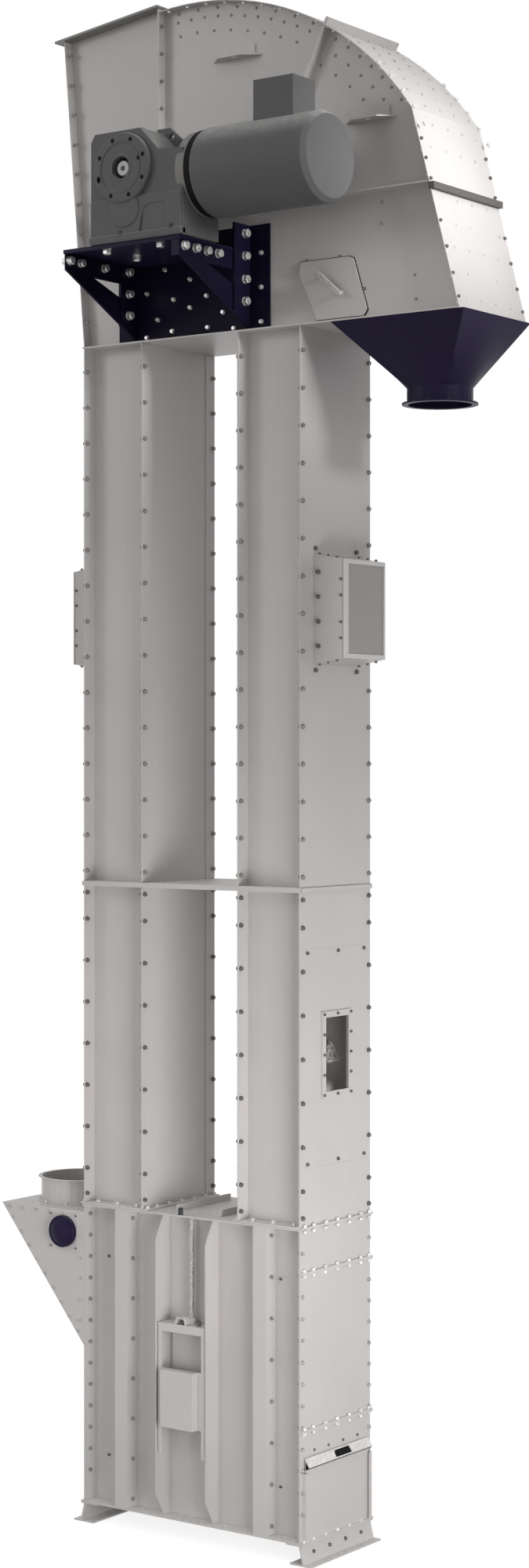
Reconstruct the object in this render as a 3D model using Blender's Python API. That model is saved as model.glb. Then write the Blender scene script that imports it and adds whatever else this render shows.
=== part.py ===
"""Bucket elevator with two casing legs, an elevator boot with screw take-up, and a geared head drive.

Metres, +Z up. X runs from the up leg to the down leg and its discharge, and the drive stands on the -Y side.
The origin is on the floor, under the middle of the machine's outline.
"""

import math

import bmesh
import bpy
from mathutils import Matrix, Vector

# Casing, from the floor up
SHEET = 0.003
GAP = 0.0003
CASING_LENGTH = 0.99
CASING_DEPTH = 0.445
LEG_WIDTH = 0.275
PAN_RECESS = 0.060
FLANGE_PLATE = 0.006
FLANGE_LIP = 0.004
END_FLANGE_LIP = 0.012
FOOT_HEIGHT = 0.075
BOOT_HEIGHT = 1.110
LOWER_LEG_HEIGHT = 1.205
UPPER_LEG_HEIGHT = 2.000
TIE_PLATE = 0.018
BOOT_FLOOR = FOOT_HEIGHT + FLANGE_PLATE
DECK_Z = FOOT_HEIGHT + BOOT_HEIGHT
TIE_Z = DECK_Z + LOWER_LEG_HEIGHT
HEAD_Z = TIE_Z + UPPER_LEG_HEIGHT
HEAD_FLOOR_TOP = HEAD_Z + FLANGE_PLATE
HALF_LENGTH = CASING_LENGTH / 2
HALF_DEPTH = CASING_DEPTH / 2
LEG_X = HALF_LENGTH - LEG_WIDTH / 2
PAN_Y = HALF_DEPTH - PAN_RECESS

# Feet
FOOT_PLATE = 0.006
FOOT_TOP_INNER = 0.062
FOOT_SOLE_INNER = 0.045
FOOT_SOLE_OUTER = 0.048
FOOT_WEB_FLARE = 0.016

# Boot
POST_OFFSET = 0.317
POST_WIDTH = 0.058
DECK_RIB_OFFSET = 0.100
DECK_RIB_HEIGHT = 0.025
DECK_RIB_THICKNESS = 0.008
UPPER_END_FLANGE_Z = DECK_Z - 0.153
LOWER_END_FLANGE_Z = 0.474
END_FLANGE_THICKNESS = 0.012

# Take-up and boot pulley
TAKE_UP_X = -0.024
BOOT_SHAFT_Z = 0.525
TAKE_UP_TRAVEL = 0.12
GUIDE_SPACING = 0.224
GUIDE_PLATE = 0.004
GUIDE_REACH = 0.080
GUIDE_TIP_REACH = 0.034
GUIDE_TOP_CHAMFER = 0.090
GUIDE_BOTTOM_CHAMFER = 0.080
RUNNING_CLEARANCE = 0.0055
FRAME_PLATE = 0.004
FRAME_RAIL = 0.016
FRAME_FRONT = 0.075
FRAME_ABOVE_SHAFT = 0.2685
FRAME_BELOW_SHAFT = 0.209
FRAME_HEAD_BAR = 0.030
SHELF_INSET = 0.001
COVER_WIDTH = 0.151
COVER_DEPTH = 0.030
COVER_BELOW_SHAFT = 0.105
COVER_ABOVE_SHAFT = 0.105
SCREW_RADIUS = 0.010
SCREW_SHIFT = 0.012
SCREW_STAND_OFF = 0.0275
SCREW_BELOW_FRAME = 0.020
NUT_RADIUS = 0.017
NUT_HEIGHT = 0.022
ROD_CLEARANCE = 0.0005
BOOT_SHAFT_RADIUS = 0.025
SLOT_CLEARANCE = 0.008

# Clean-out gate in the end wall
GATE_WIDTH = CASING_DEPTH - 0.045
GATE_TOP = 0.377
GATE_LIP_REACH = 0.020
GATE_LIP_DROP = 0.030
GATE_OPENING_WIDTH = GATE_WIDTH - 0.100
GATE_OPENING_BOTTOM = 0.110
GATE_OPENING_TOP = 0.330
HAND_SLOT_WIDTH = 0.100
HAND_SLOT_Y = 0.023
KEEPER_TOP = 0.325
KEEPER_OVERLAP = 0.008
KEEPER_THICKNESS = 0.003

# Inlet
HOPPER_REACH = 0.405
HOPPER_TOP = DECK_Z - 0.025
HOPPER_DROP = 0.500
SPOUT_RADIUS = 0.153
SPOUT_HEIGHT = 0.095
SPOUT_OFFSET = 0.197
SPOUT_RIM = 0.012
SENSOR_RADIUS = 0.062
SENSOR_DEPTH = 0.030
SENSOR_PLATE = 0.140
SENSOR_X = -HALF_LENGTH - 0.097
SENSOR_Z = HOPPER_TOP - 0.080

# Service panel and inspection window in the down leg
SERVICE_PANEL_BOTTOM = DECK_Z + 0.215
SERVICE_PANEL_TOP = TIE_Z - 0.210
WINDOW_CENTRE_Z = DECK_Z + 0.508 * LOWER_LEG_HEIGHT
WINDOW_WIDTH = CASING_DEPTH - 0.301
WINDOW_HEIGHT = 0.265
WINDOW_FRAME = 0.022
WINDOW_FRAME_THICKNESS = 0.008
GLASS = 0.005

# Explosion vents on the outer faces of the upper legs
VENT_CENTRE_Z = TIE_Z + 0.5035 * UPPER_LEG_HEIGHT
VENT_WIDTH = CASING_DEPTH - 0.230
VENT_HEIGHT = 0.315
VENT_REACH = 0.118
VENT_FLANGE = 0.038
VENT_RIM = 0.014
VENT_PANEL = 0.015

# Head casing, in the plane of the elevator
HEAD_RECESS = 0.040
HEAD_PLATE_Y = HALF_DEPTH - HEAD_RECESS
HEAD_PLATE = 0.004
HOOD_CENTRE_X = 0.0
HOOD_CENTRE_Z = HEAD_Z + 0.045
HOOD_RADIUS = 1.170
WALL_TOP_X = -HALF_LENGTH - 0.097
ROOF_LEFT_X = WALL_TOP_X - 0.036
ROOF_RISE = 0.063
ROOF_ABOVE_HOOD = 0.0154
ROOF_PLATE = 0.008
ROOF_OVERHANG = 0.012
FEED_JOINT_X = -0.140
CHUTE_JOINT_X = 0.509 * HOOD_RADIUS
CHUTE_LINE_X = 0.239 * HOOD_RADIUS
SHOULDER_X = 0.825 * HOOD_RADIUS
CHUTE_SPLIT_Z = HEAD_Z + 0.446
THROAT_X = HOOD_RADIUS - 0.015
JOINT_FLANGE = 0.006
CHUTE_FLANGE_REACH = 0.015
CHUTE_FLANGE_HEIGHT = 0.020
HOOD_FLANGE_REACH = 0.026
HOOD_FLANGE_THICKNESS = 0.012
DOOR_DEPTH = 0.007
LUG_LENGTH = 0.208
LUG_REACH = 0.050
LUG_CORNER = 0.050
LUG_THICKNESS = 0.006
LUG_PLATE = 0.045
LUG_HOLE = 0.011
HOOD_LUG_X = 0.192
HOOD_LUG_Z = HEAD_Z + 0.992
CHUTE_LUG_X = 0.772
CHUTE_LUG_Z = HEAD_Z + 0.693

# Head pulley and its shaft
HEAD_SHAFT_Z = HEAD_Z + 0.550
HEAD_SHAFT_RADIUS = 0.028
HEAD_SHAFT_FRONT = -HALF_DEPTH - 0.3835
HEAD_SHAFT_BACK = HALF_DEPTH + 0.0395
BEARING_RADIUS = 0.085
BEARING_DEPTH = 0.050
BEARING_FRONT_DEPTH = 0.035
BELT_TO_SHEET = 0.050
PULLEY_RADIUS = HALF_LENGTH - LEG_WIDTH + BELT_TO_SHEET
PULLEY_WIDTH = 2 * PAN_Y - 0.045
PULLEY_RIM = 0.008
PULLEY_WEB = 0.012

# Belt and buckets
# The belt runs on the head drum. The boot drum is smaller, so that it slides clear of the fixed loop.
BELT_CLEARANCE = 0.0005
BOOT_DRUM_CLEARANCE = 0.0055
BELT_THICKNESS = 0.008
BELT_WIDTH = PULLEY_WIDTH - 0.010
BUCKET_WIDTH = BELT_WIDTH - 0.020
BUCKET_REACH = LEG_WIDTH - BELT_TO_SHEET - 0.095
BUCKET_BACK = 0.115
BUCKET_WALL = 0.003
BUCKET_PITCH = 0.210
BUCKET_PHASE = 0.86

# Discharge
DISCHARGE_LEFT_X = THROAT_X - 0.530
DISCHARGE_X = THROAT_X - 0.216
DISCHARGE_RADIUS = HALF_DEPTH - 0.106
DISCHARGE_DROP = 0.235
COLLAR_HEIGHT = 0.058
COLLAR_FLANGE = 0.018
DISCHARGE_LIP = 0.020

# Drive bracket
BRACKET_LEFT = -0.280
BRACKET_RIGHT = 0.245
BRACKET_FRONT = -HALF_DEPTH - 0.3775
BRACKET_PLATE = 0.008
BRACKET_TOP = HEAD_Z + 0.292
BRACKET_APRON = 0.070
BACK_PLATE_LEFT = BRACKET_LEFT - 0.070
BACK_PLATE_RIGHT = BRACKET_RIGHT + 0.093
BACK_PLATE_BOTTOM = HEAD_Z + 0.014
BACK_PLATE_TOP = HEAD_Z + 0.382
BRACKET_ARM = 0.070
BRACKET_FLANGE = 0.096

# Gear unit and motor
GEAR_LEFT = -0.151
GEAR_RIGHT = 0.261
GEAR_FRONT = -HALF_DEPTH - 0.3775
GEAR_BACK = GEAR_FRONT + 0.210
GEAR_TOP = HEAD_SHAFT_Z + 0.137
GEAR_WALL = 0.014
GEAR_SHOULDER_Z = HEAD_SHAFT_Z + 0.040
GEAR_CHAMFER_TOP_X = 0.070
GEAR_CHAMFER_FOOT_X = 0.149
GEAR_FOOT_HEIGHT = 0.028
GEAR_FOOT_REACH = 0.006
GEAR_CAP_RADIUS = 0.064
GEAR_CAP_DROP = 0.140
GEAR_CAP_REACH = 0.006
GEAR_POCKET_DEPTH = 0.008
GEAR_EYE_HEIGHT = 0.020
GEAR_EYE_HOLE = 0.010
GEAR_BORE = 0.039
GEAR_DISC_RADIUS = 0.122
GEAR_DISC_DEPTH = 0.020
MOTOR_Y = GEAR_FRONT + 0.140
MOTOR_Z = HEAD_SHAFT_Z - 0.030
MOTOR_RADIUS = 0.158
ADAPTER_RADIUS = 0.145
ADAPTER_DEPTH = 0.013
GROOVE_RADIUS = ADAPTER_RADIUS + 0.005
MOTOR_START = GEAR_RIGHT + ADAPTER_DEPTH + 0.020
MOTOR_END = MOTOR_START + 0.496
MOTOR_WALL = 0.010
MOTOR_BORE = 0.060
TERMINAL_LEFT = MOTOR_START + 0.216
TERMINAL_RIGHT = TERMINAL_LEFT + 0.170
TERMINAL_DEPTH = 0.133
TERMINAL_TOP = MOTOR_Z + 0.285

# The outline's middle, which is put over the origin
LEFT_END = -HALF_LENGTH - GAP - HOPPER_REACH
RIGHT_END = THROAT_X + DISCHARGE_LIP
FRONT_END = GEAR_FRONT - GEAR_DISC_DEPTH
BACK_END = PAN_Y + FRAME_FRONT + GAP + COVER_DEPTH
MIDDLE = Vector(((LEFT_END + RIGHT_END) / 2, (FRONT_END + BACK_END) / 2, 0.0))


def clear_scene():
    for thing in list(bpy.data.objects):
        bpy.data.objects.remove(thing, do_unlink=True)


def finish(name, colour, roughness, metallic=0.0):
    """One surface finish."""
    material = bpy.data.materials.new(name)
    material.use_nodes = True
    shader = material.node_tree.nodes["Principled BSDF"]
    shader.inputs["Base Color"].default_value = (*colour, 1.0)
    shader.inputs["Roughness"].default_value = roughness
    shader.inputs["Metallic"].default_value = metallic
    return material


def piece(name, shape, material, smooth=False):
    """Turns a bmesh into a named object."""
    bmesh.ops.recalc_face_normals(shape, faces=shape.faces)
    mesh = bpy.data.meshes.new(name)
    shape.to_mesh(mesh)
    shape.free()
    mesh.materials.append(material)
    if smooth:
        mesh.shade_smooth()
        mesh.set_sharp_from_angle(angle=math.radians(35))
    thing = bpy.data.objects.new(name, mesh)
    bpy.context.collection.objects.link(thing)
    return thing


def boolean(thing, shape, operation):
    """Adds a Boolean with a hidden helper made from a bmesh."""
    bmesh.ops.recalc_face_normals(shape, faces=shape.faces)
    label = f"{thing.name}_{operation.lower()}_{len(thing.modifiers)}"
    mesh = bpy.data.meshes.new(label)
    shape.to_mesh(mesh)
    shape.free()
    helper = bpy.data.objects.new(label, mesh)
    helper.hide_render = True
    helper.display_type = "WIRE"
    bpy.context.collection.objects.link(helper)
    modifier = thing.modifiers.new(label, "BOOLEAN")
    modifier.operation = operation
    modifier.solver = "EXACT"
    modifier.object = helper


def cut(thing, shape):
    boolean(thing, shape, "DIFFERENCE")


def weld(thing, shape):
    boolean(thing, shape, "UNION")


def box(shape, low, high):
    """Adds a box between two corners."""
    low = Vector(low)
    high = Vector(high)
    size = high - low
    place = Matrix.Translation((low + high) / 2) @ Matrix.Diagonal((*size, 1.0))
    bmesh.ops.create_cube(shape, size=1.0, matrix=place)
    return shape


AXES = {
    "x": lambda a, b, t: Vector((t, a, b)),
    "y": lambda a, b, t: Vector((a, t, b)),
    "z": lambda a, b, t: Vector((a, b, t)),
}


def prism(shape, outline, axis, start, end):
    """Adds a closed outline carried along an axis."""
    place = AXES[axis]
    near = [shape.verts.new(place(a, b, start)) for a, b in outline]
    far = [shape.verts.new(place(a, b, end)) for a, b in outline]
    shape.faces.new(near)
    shape.faces.new(list(reversed(far)))
    count = len(outline)
    for i in range(count):
        j = (i + 1) % count
        shape.faces.new((near[i], far[i], far[j], near[j]))
    return shape


def band(shape, outer, inner, axis, start, end):
    """Adds a closed band, such as a ring or a belt, between two outlines with as many points."""
    place = AXES[axis]
    rings = [
        [shape.verts.new(place(a, b, t)) for a, b in line]
        for line, t in ((outer, start), (outer, end), (inner, end), (inner, start))
    ]
    count = len(outer)
    for first, second in zip(rings, rings[1:] + rings[:1]):
        for i in range(count):
            j = (i + 1) % count
            shape.faces.new((first[i], second[i], second[j], first[j]))
    return shape


def circle(a, b, radius, count):
    return [
        (a + radius * math.cos(math.tau * i / count), b + radius * math.sin(math.tau * i / count))
        for i in range(count)
    ]


def turned(shape, profile, axis, a, b, count):
    """Adds a profile of (distance along the axis, radius) points turned about an axis."""
    place = AXES[axis]
    rings = []
    for along, radius in profile:
        if radius == 0.0:
            rings.append([shape.verts.new(place(a, b, along))] * count)
        else:
            rings.append([shape.verts.new(place(p, q, along)) for p, q in circle(a, b, radius, count)])
    for first, second in zip(rings, rings[1:] + rings[:1]):
        for i in range(count):
            j = (i + 1) % count
            corners = []
            for corner in (first[i], second[i], second[j], first[j]):
                if corner not in corners:
                    corners.append(corner)
            if len(corners) > 2:
                shape.faces.new(corners)
    return shape


def disc(shape, axis, a, b, radius, start, end, count=24):
    return prism(shape, circle(a, b, radius, count), axis, start, end)


def mirrored(outline):
    """The same outline on the other side of the first axis."""
    return [(-a, b) for a, b in outline]


def shifted(outline, distance):
    """An open line moved sideways by a distance, to the left of its direction."""
    moved = []
    for i, (a, b) in enumerate(outline):
        sides = []
        if i > 0:
            sides.append(Vector((a, b)) - Vector(outline[i - 1]))
        if i < len(outline) - 1:
            sides.append(Vector(outline[i + 1]) - Vector((a, b)))
        normals = [Vector((-side.y, side.x)).normalized() for side in sides]
        middle = sum(normals, Vector((0.0, 0.0))).normalized()
        reach = distance / middle.dot(normals[0])
        moved.append((a + middle.x * reach, b + middle.y * reach))
    return moved


def folded(line, thickness):
    """The closed outline of a sheet folded along an open line."""
    return list(line) + list(reversed(shifted(line, thickness)))


def tub(shape, line, thickness, axis, start, end):
    """Adds an open tub: a sheet folded along a line, with both ends closed, open from its last point to its first."""
    place = AXES[axis]
    mouth_from = Vector(line[0])
    mouth_along = (Vector(line[-1]) - mouth_from).normalized()
    inner = shifted(line, thickness)
    for i, other in ((0, 1), (-1, -2)):
        point = Vector(inner[i])
        run = Vector(inner[other]) - point
        # The inner line is drawn out, or cut back, to the plane of the mouth.
        across = Vector((-mouth_along.y, mouth_along.x))
        step = (mouth_from - point).dot(across) / run.dot(across)
        inner[i] = tuple(point + run * step)
    inside = (start + math.copysign(thickness, end - start), end - math.copysign(thickness, end - start))
    outer_near = [shape.verts.new(place(a, b, start)) for a, b in line]
    outer_far = [shape.verts.new(place(a, b, end)) for a, b in line]
    inner_near = [shape.verts.new(place(a, b, inside[0])) for a, b in inner]
    inner_far = [shape.verts.new(place(a, b, inside[1])) for a, b in inner]
    shape.faces.new(outer_near)
    shape.faces.new(list(reversed(outer_far)))
    shape.faces.new(list(reversed(inner_near)))
    shape.faces.new(inner_far)
    for i in range(len(line) - 1):
        shape.faces.new((outer_near[i], outer_far[i], outer_far[i + 1], outer_near[i + 1]))
        shape.faces.new((inner_near[i], inner_near[i + 1], inner_far[i + 1], inner_far[i]))
    shape.faces.new((outer_near[0], outer_near[-1], inner_near[-1], inner_near[0]))
    shape.faces.new((outer_far[0], inner_far[0], inner_far[-1], outer_far[-1]))
    shape.faces.new((outer_near[0], inner_near[0], inner_far[0], outer_far[0]))
    shape.faces.new((outer_near[-1], outer_far[-1], inner_far[-1], inner_near[-1]))
    return shape


def channel(low, high, y_face, y_edge):
    """The outline, in X and Y, of a pan with its two flanges turned outward."""
    step = math.copysign(SHEET, y_edge - y_face)
    return [
        (low, y_edge),
        (low, y_face - step),
        (high, y_face - step),
        (high, y_edge),
        (high - SHEET, y_edge),
        (high - SHEET, y_face),
        (low + SHEET, y_face),
        (low + SHEET, y_edge),
    ]


def arc_z(x, radius=HOOD_RADIUS):
    return HOOD_CENTRE_Z + math.sqrt(radius**2 - (x - HOOD_CENTRE_X) ** 2)


def hood_arc(start_x, end_x, count, radius=HOOD_RADIUS):
    """Points along the round of the hood, from left to right."""
    first = math.acos((start_x - HOOD_CENTRE_X) / radius)
    last = math.acos((end_x - HOOD_CENTRE_X) / radius)
    turns = [first + (last - first) * i / count for i in range(count + 1)]
    return [(HOOD_CENTRE_X + radius * math.cos(t), HOOD_CENTRE_Z + radius * math.sin(t)) for t in turns]


def roof_underside(x):
    high = arc_z(FEED_JOINT_X) + ROOF_ABOVE_HOOD
    return high - ROOF_RISE * (FEED_JOINT_X - x) / (FEED_JOINT_X - ROOF_LEFT_X)


def leg_opening(x):
    half = LEG_WIDTH / 2 - SHEET - GAP
    return box(bmesh.new(), (x - half, -PAN_Y + SHEET, 0.0), (x + half, PAN_Y - SHEET, HEAD_Z * 2))


def make_feet(paint):
    outer = HALF_LENGTH + END_FLANGE_LIP
    top = FOOT_HEIGHT - GAP
    web_top = HALF_LENGTH
    web_foot = HALF_LENGTH + FOOT_WEB_FLARE
    right = [
        (HALF_LENGTH - FOOT_TOP_INNER, top),
        (HALF_LENGTH - FOOT_TOP_INNER, top - FOOT_PLATE),
        (web_top - FOOT_PLATE, top - FOOT_PLATE),
        (web_foot - FOOT_PLATE, FOOT_PLATE),
        (HALF_LENGTH - FOOT_SOLE_INNER, FOOT_PLATE),
        (HALF_LENGTH - FOOT_SOLE_INNER, 0.0),
        (HALF_LENGTH + FOOT_SOLE_OUTER, 0.0),
        (HALF_LENGTH + FOOT_SOLE_OUTER, FOOT_PLATE),
        (web_foot, FOOT_PLATE),
        (web_top, top - FOOT_PLATE),
        (outer, top - FOOT_PLATE),
        (outer, top),
    ]
    piece("right_foot", prism(bmesh.new(), right, "y", -HALF_DEPTH, HALF_DEPTH), paint)
    piece("left_foot", prism(bmesh.new(), mirrored(right), "y", -HALF_DEPTH, HALF_DEPTH), paint)


def slot_outline(clearance):
    """The slot that lets the boot shaft travel with the take-up."""
    outline = circle(TAKE_UP_X, BOOT_SHAFT_Z, BOOT_SHAFT_RADIUS + clearance, 24)
    return [(a, b + TAKE_UP_TRAVEL) if b > BOOT_SHAFT_Z else (a, b) for a, b in outline]


def make_boot(paint):
    low = BOOT_FLOOR + GAP
    high = DECK_Z - GAP
    edge_x = HALF_LENGTH + END_FLANGE_LIP
    edge_y = HALF_DEPTH + FLANGE_LIP
    floor = box(bmesh.new(), (-edge_x, -edge_y, FOOT_HEIGHT), (edge_x, edge_y, BOOT_FLOOR))
    piece("boot_floor", floor, paint)

    left = box(bmesh.new(), (-HALF_LENGTH, -HALF_DEPTH, low), (-HALF_LENGTH + SHEET, HALF_DEPTH, high))
    left = piece("boot_left_wall", left, paint)
    inlet_low = HOPPER_TOP - HOPPER_DROP + 2 * SHEET
    inlet_half = PAN_Y - 2 * SHEET
    cut(left, box(bmesh.new(), (-1, -inlet_half, inlet_low), (0, inlet_half, HOPPER_TOP - 2 * SHEET)))

    right = box(bmesh.new(), (HALF_LENGTH - SHEET, -HALF_DEPTH, low), (HALF_LENGTH, HALF_DEPTH, high))
    right = piece("boot_right_wall", right, paint)
    half = END_FLANGE_THICKNESS / 2
    for z in (UPPER_END_FLANGE_Z, LOWER_END_FLANGE_Z):
        root = HALF_LENGTH - SHEET / 2
        weld(right, box(bmesh.new(), (root, -HALF_DEPTH, z - half), (edge_x, HALF_DEPTH, z + half)))
    weld(right, gate_keeper(-1))
    weld(right, gate_keeper(1))
    half = GATE_OPENING_WIDTH / 2
    cut(right, box(bmesh.new(), (0, -half, GATE_OPENING_BOTTOM), (1, half, GATE_OPENING_TOP)))

    reach = HALF_LENGTH - SHEET - GAP
    for name, side in (("boot_front_pan", -1), ("boot_back_pan", 1)):
        outline = channel(-reach, reach, side * PAN_Y, side * HALF_DEPTH)
        pan = piece(name, prism(bmesh.new(), outline, "z", low, high), paint)
        root = side * (PAN_Y - SHEET / 2)
        for x in (-POST_OFFSET, POST_OFFSET):
            half = POST_WIDTH / 2
            outline = channel(x - half, x + half, side * (HALF_DEPTH - SHEET), root)
            weld(pan, prism(bmesh.new(), outline, "z", low, high))
        tip = side * (PAN_Y + GUIDE_REACH)
        ends = side * (PAN_Y + GUIDE_TIP_REACH)
        outline = [
            (root, low),
            (ends, low),
            (tip, low + GUIDE_BOTTOM_CHAMFER),
            (tip, high - GUIDE_TOP_CHAMFER),
            (ends, high),
            (root, high),
        ]
        for x in (TAKE_UP_X - GUIDE_SPACING / 2 - GUIDE_PLATE, TAKE_UP_X + GUIDE_SPACING / 2):
            weld(pan, prism(bmesh.new(), outline, "x", x, x + GUIDE_PLATE))
        cut(pan, prism(bmesh.new(), slot_outline(SLOT_CLEARANCE), "y", side * 0.1, side * (PAN_Y + SHEET)))

    lip = HALF_LENGTH + FLANGE_LIP
    deck = piece("boot_deck", box(bmesh.new(), (-lip, -edge_y, DECK_Z), (lip, edge_y, DECK_Z + FLANGE_PLATE)), paint)
    rib = DECK_RIB_THICKNESS / 2
    for x in (-DECK_RIB_OFFSET, DECK_RIB_OFFSET):
        rib_top = DECK_Z + FLANGE_PLATE + DECK_RIB_HEIGHT
        weld(deck, box(bmesh.new(), (x - rib, -PAN_Y, DECK_Z + SHEET), (x + rib, PAN_Y, rib_top)))
    for x in (-LEG_X, LEG_X):
        cut(deck, leg_opening(x))


def make_take_up(paint, zinc):
    high = DECK_Z - GAP
    half_frame = GUIDE_SPACING / 2 - RUNNING_CLEARANCE
    frame_top = BOOT_SHAFT_Z + FRAME_ABOVE_SHAFT
    frame_foot = BOOT_SHAFT_Z - FRAME_BELOW_SHAFT
    cover_low = BOOT_SHAFT_Z - COVER_BELOW_SHAFT
    cover_high = BOOT_SHAFT_Z + COVER_ABOVE_SHAFT
    left = TAKE_UP_X - half_frame
    right = TAKE_UP_X + half_frame
    plate = [
        (left, frame_foot),
        (left + FRAME_RAIL, frame_foot),
        (left + FRAME_RAIL, cover_low),
        (right - FRAME_RAIL, cover_low),
        (right - FRAME_RAIL, frame_foot),
        (right, frame_foot),
        (right, frame_top),
        (left, frame_top),
    ]
    for side, place in ((-1, "front"), (1, "back")):
        screw_x = TAKE_UP_X + SCREW_SHIFT
        screw_y = side * (PAN_Y + SCREW_STAND_OFF)
        screw = disc(bmesh.new(), "z", screw_x, screw_y, SCREW_RADIUS, frame_top - SCREW_BELOW_FRAME, high, 16)
        piece(f"take_up_screw_{place}", screw, zinc, smooth=True)

        face = side * (PAN_Y + FRAME_FRONT)
        behind = face - side * FRAME_PLATE
        frame = piece(f"take_up_frame_{place}", prism(bmesh.new(), plate, "y", behind, face), paint)
        rows = sorted((side * (PAN_Y + RUNNING_CLEARANCE), face - side * FRAME_PLATE / 2))
        shelf_top = frame_top - SHELF_INSET
        shelf = (left + SHELF_INSET, rows[0], shelf_top - FRAME_PLATE), (right - SHELF_INSET, rows[1], shelf_top)
        weld(frame, box(bmesh.new(), *shelf))
        # The slide plate hangs from the shelf close to the pan, carries the bearing and hides the slot.
        rows = sorted((side * (PAN_Y + RUNNING_CLEARANCE), side * (PAN_Y + RUNNING_CLEARANCE + FRAME_PLATE)))
        slide = (left + FRAME_RAIL, rows[0], cover_low), (right - FRAME_RAIL, rows[1], shelf_top - FRAME_PLATE / 2)
        weld(frame, box(bmesh.new(), *slide))
        nut_top = frame_top + NUT_HEIGHT
        nut_foot = shelf_top - FRAME_PLATE / 2
        weld(frame, disc(bmesh.new(), "z", screw_x, screw_y, NUT_RADIUS, nut_foot, nut_top, 6))
        hole = (SCREW_RADIUS + ROD_CLEARANCE) / math.cos(math.pi / 16)
        bore = disc(bmesh.new(), "z", screw_x, screw_y, hole, frame_top - 2 * FRAME_PLATE, nut_top + FRAME_PLATE, 16)
        cut(frame, bore)
        rows = sorted((face - side * 3 * FRAME_PLATE, face + side * FRAME_PLATE))
        window = (left + FRAME_RAIL, rows[0], cover_high), (right - FRAME_RAIL, rows[1], frame_top - FRAME_HEAD_BAR)
        cut(frame, box(bmesh.new(), *window))
        hole = (BOOT_SHAFT_RADIUS + GAP) / math.cos(math.pi / 24)
        cut(frame, disc(bmesh.new(), "y", TAKE_UP_X, BOOT_SHAFT_Z, hole, side * PAN_Y, face + side * FRAME_PLATE, 24))

        near = face + side * GAP
        far = near + side * COVER_DEPTH
        cover = [(near, cover_low), (far, cover_low), (far, cover_high), (near, cover_high)]
        half = COVER_WIDTH / 2
        line = cover if side > 0 else cover[::-1]
        shell = tub(bmesh.new(), line, SHEET, "x", TAKE_UP_X - half, TAKE_UP_X + half)
        piece(f"bearing_cover_{place}", shell, paint)


def pulley(shape, x, z, radius, shaft_radius, front, back):
    """A shaft with a drum on it: one web in the middle of a thin rim."""
    half = PULLEY_WIDTH / 2
    web = PULLEY_WEB / 2
    bore = radius - PULLEY_RIM
    profile = [
        (front, 0.0),
        (front, shaft_radius),
        (-web, shaft_radius),
        (-web, bore),
        (-half, bore),
        (-half, radius),
        (half, radius),
        (half, bore),
        (web, bore),
        (web, shaft_radius),
        (back, shaft_radius),
        (back, 0.0),
    ]
    return turned(shape, profile, "y", x, z, 24)


def make_pulleys(zinc):
    end = PAN_Y + FRAME_FRONT + COVER_DEPTH - 2 * SHEET
    drum = PULLEY_RADIUS - BOOT_DRUM_CLEARANCE
    boot = pulley(bmesh.new(), TAKE_UP_X, BOOT_SHAFT_Z, drum, BOOT_SHAFT_RADIUS, -end, end)
    piece("boot_pulley", boot, zinc, smooth=True)
    ends = HEAD_SHAFT_FRONT, HEAD_SHAFT_BACK
    head = pulley(bmesh.new(), 0.0, HEAD_SHAFT_Z, PULLEY_RADIUS, HEAD_SHAFT_RADIUS, *ends)
    piece("head_pulley", head, zinc, smooth=True)


def loop_frame(distance, radius):
    """A place on the belt's loop: its point, and the direction that faces out of the loop."""
    rise = HEAD_SHAFT_Z - BOOT_SHAFT_Z
    lean = Vector((-TAKE_UP_X, rise))
    span = lean.length
    out_right = Vector((lean.y, -lean.x)).normalized()
    turn = math.pi * radius
    boot = Vector((TAKE_UP_X, BOOT_SHAFT_Z))
    head = Vector((0.0, HEAD_SHAFT_Z))
    distance %= 2 * span + 2 * turn
    if distance < span:
        return boot - out_right * radius + lean * (distance / span), -out_right
    distance -= span
    start = math.atan2(out_right.y, out_right.x)
    if distance < turn:
        angle = start + math.pi - distance / radius
        out = Vector((math.cos(angle), math.sin(angle)))
        return head + out * radius, out
    distance -= turn
    if distance < span:
        return head + out_right * radius - lean * (distance / span), out_right
    distance -= span
    angle = start - distance / radius
    out = Vector((math.cos(angle), math.sin(angle)))
    return boot + out * radius, out


def loop_line(radius, count):
    """The belt's loop as a closed line: two straight runs and two half circles."""
    span = math.hypot(TAKE_UP_X, HEAD_SHAFT_Z - BOOT_SHAFT_Z)
    turn = math.pi * radius
    places = [span + turn * i / count for i in range(count + 1)]
    places += [2 * span + turn + turn * i / count for i in range(count)] + [-1e-9]
    return [tuple(loop_frame(place, radius)[0]) for place in places]


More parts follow.
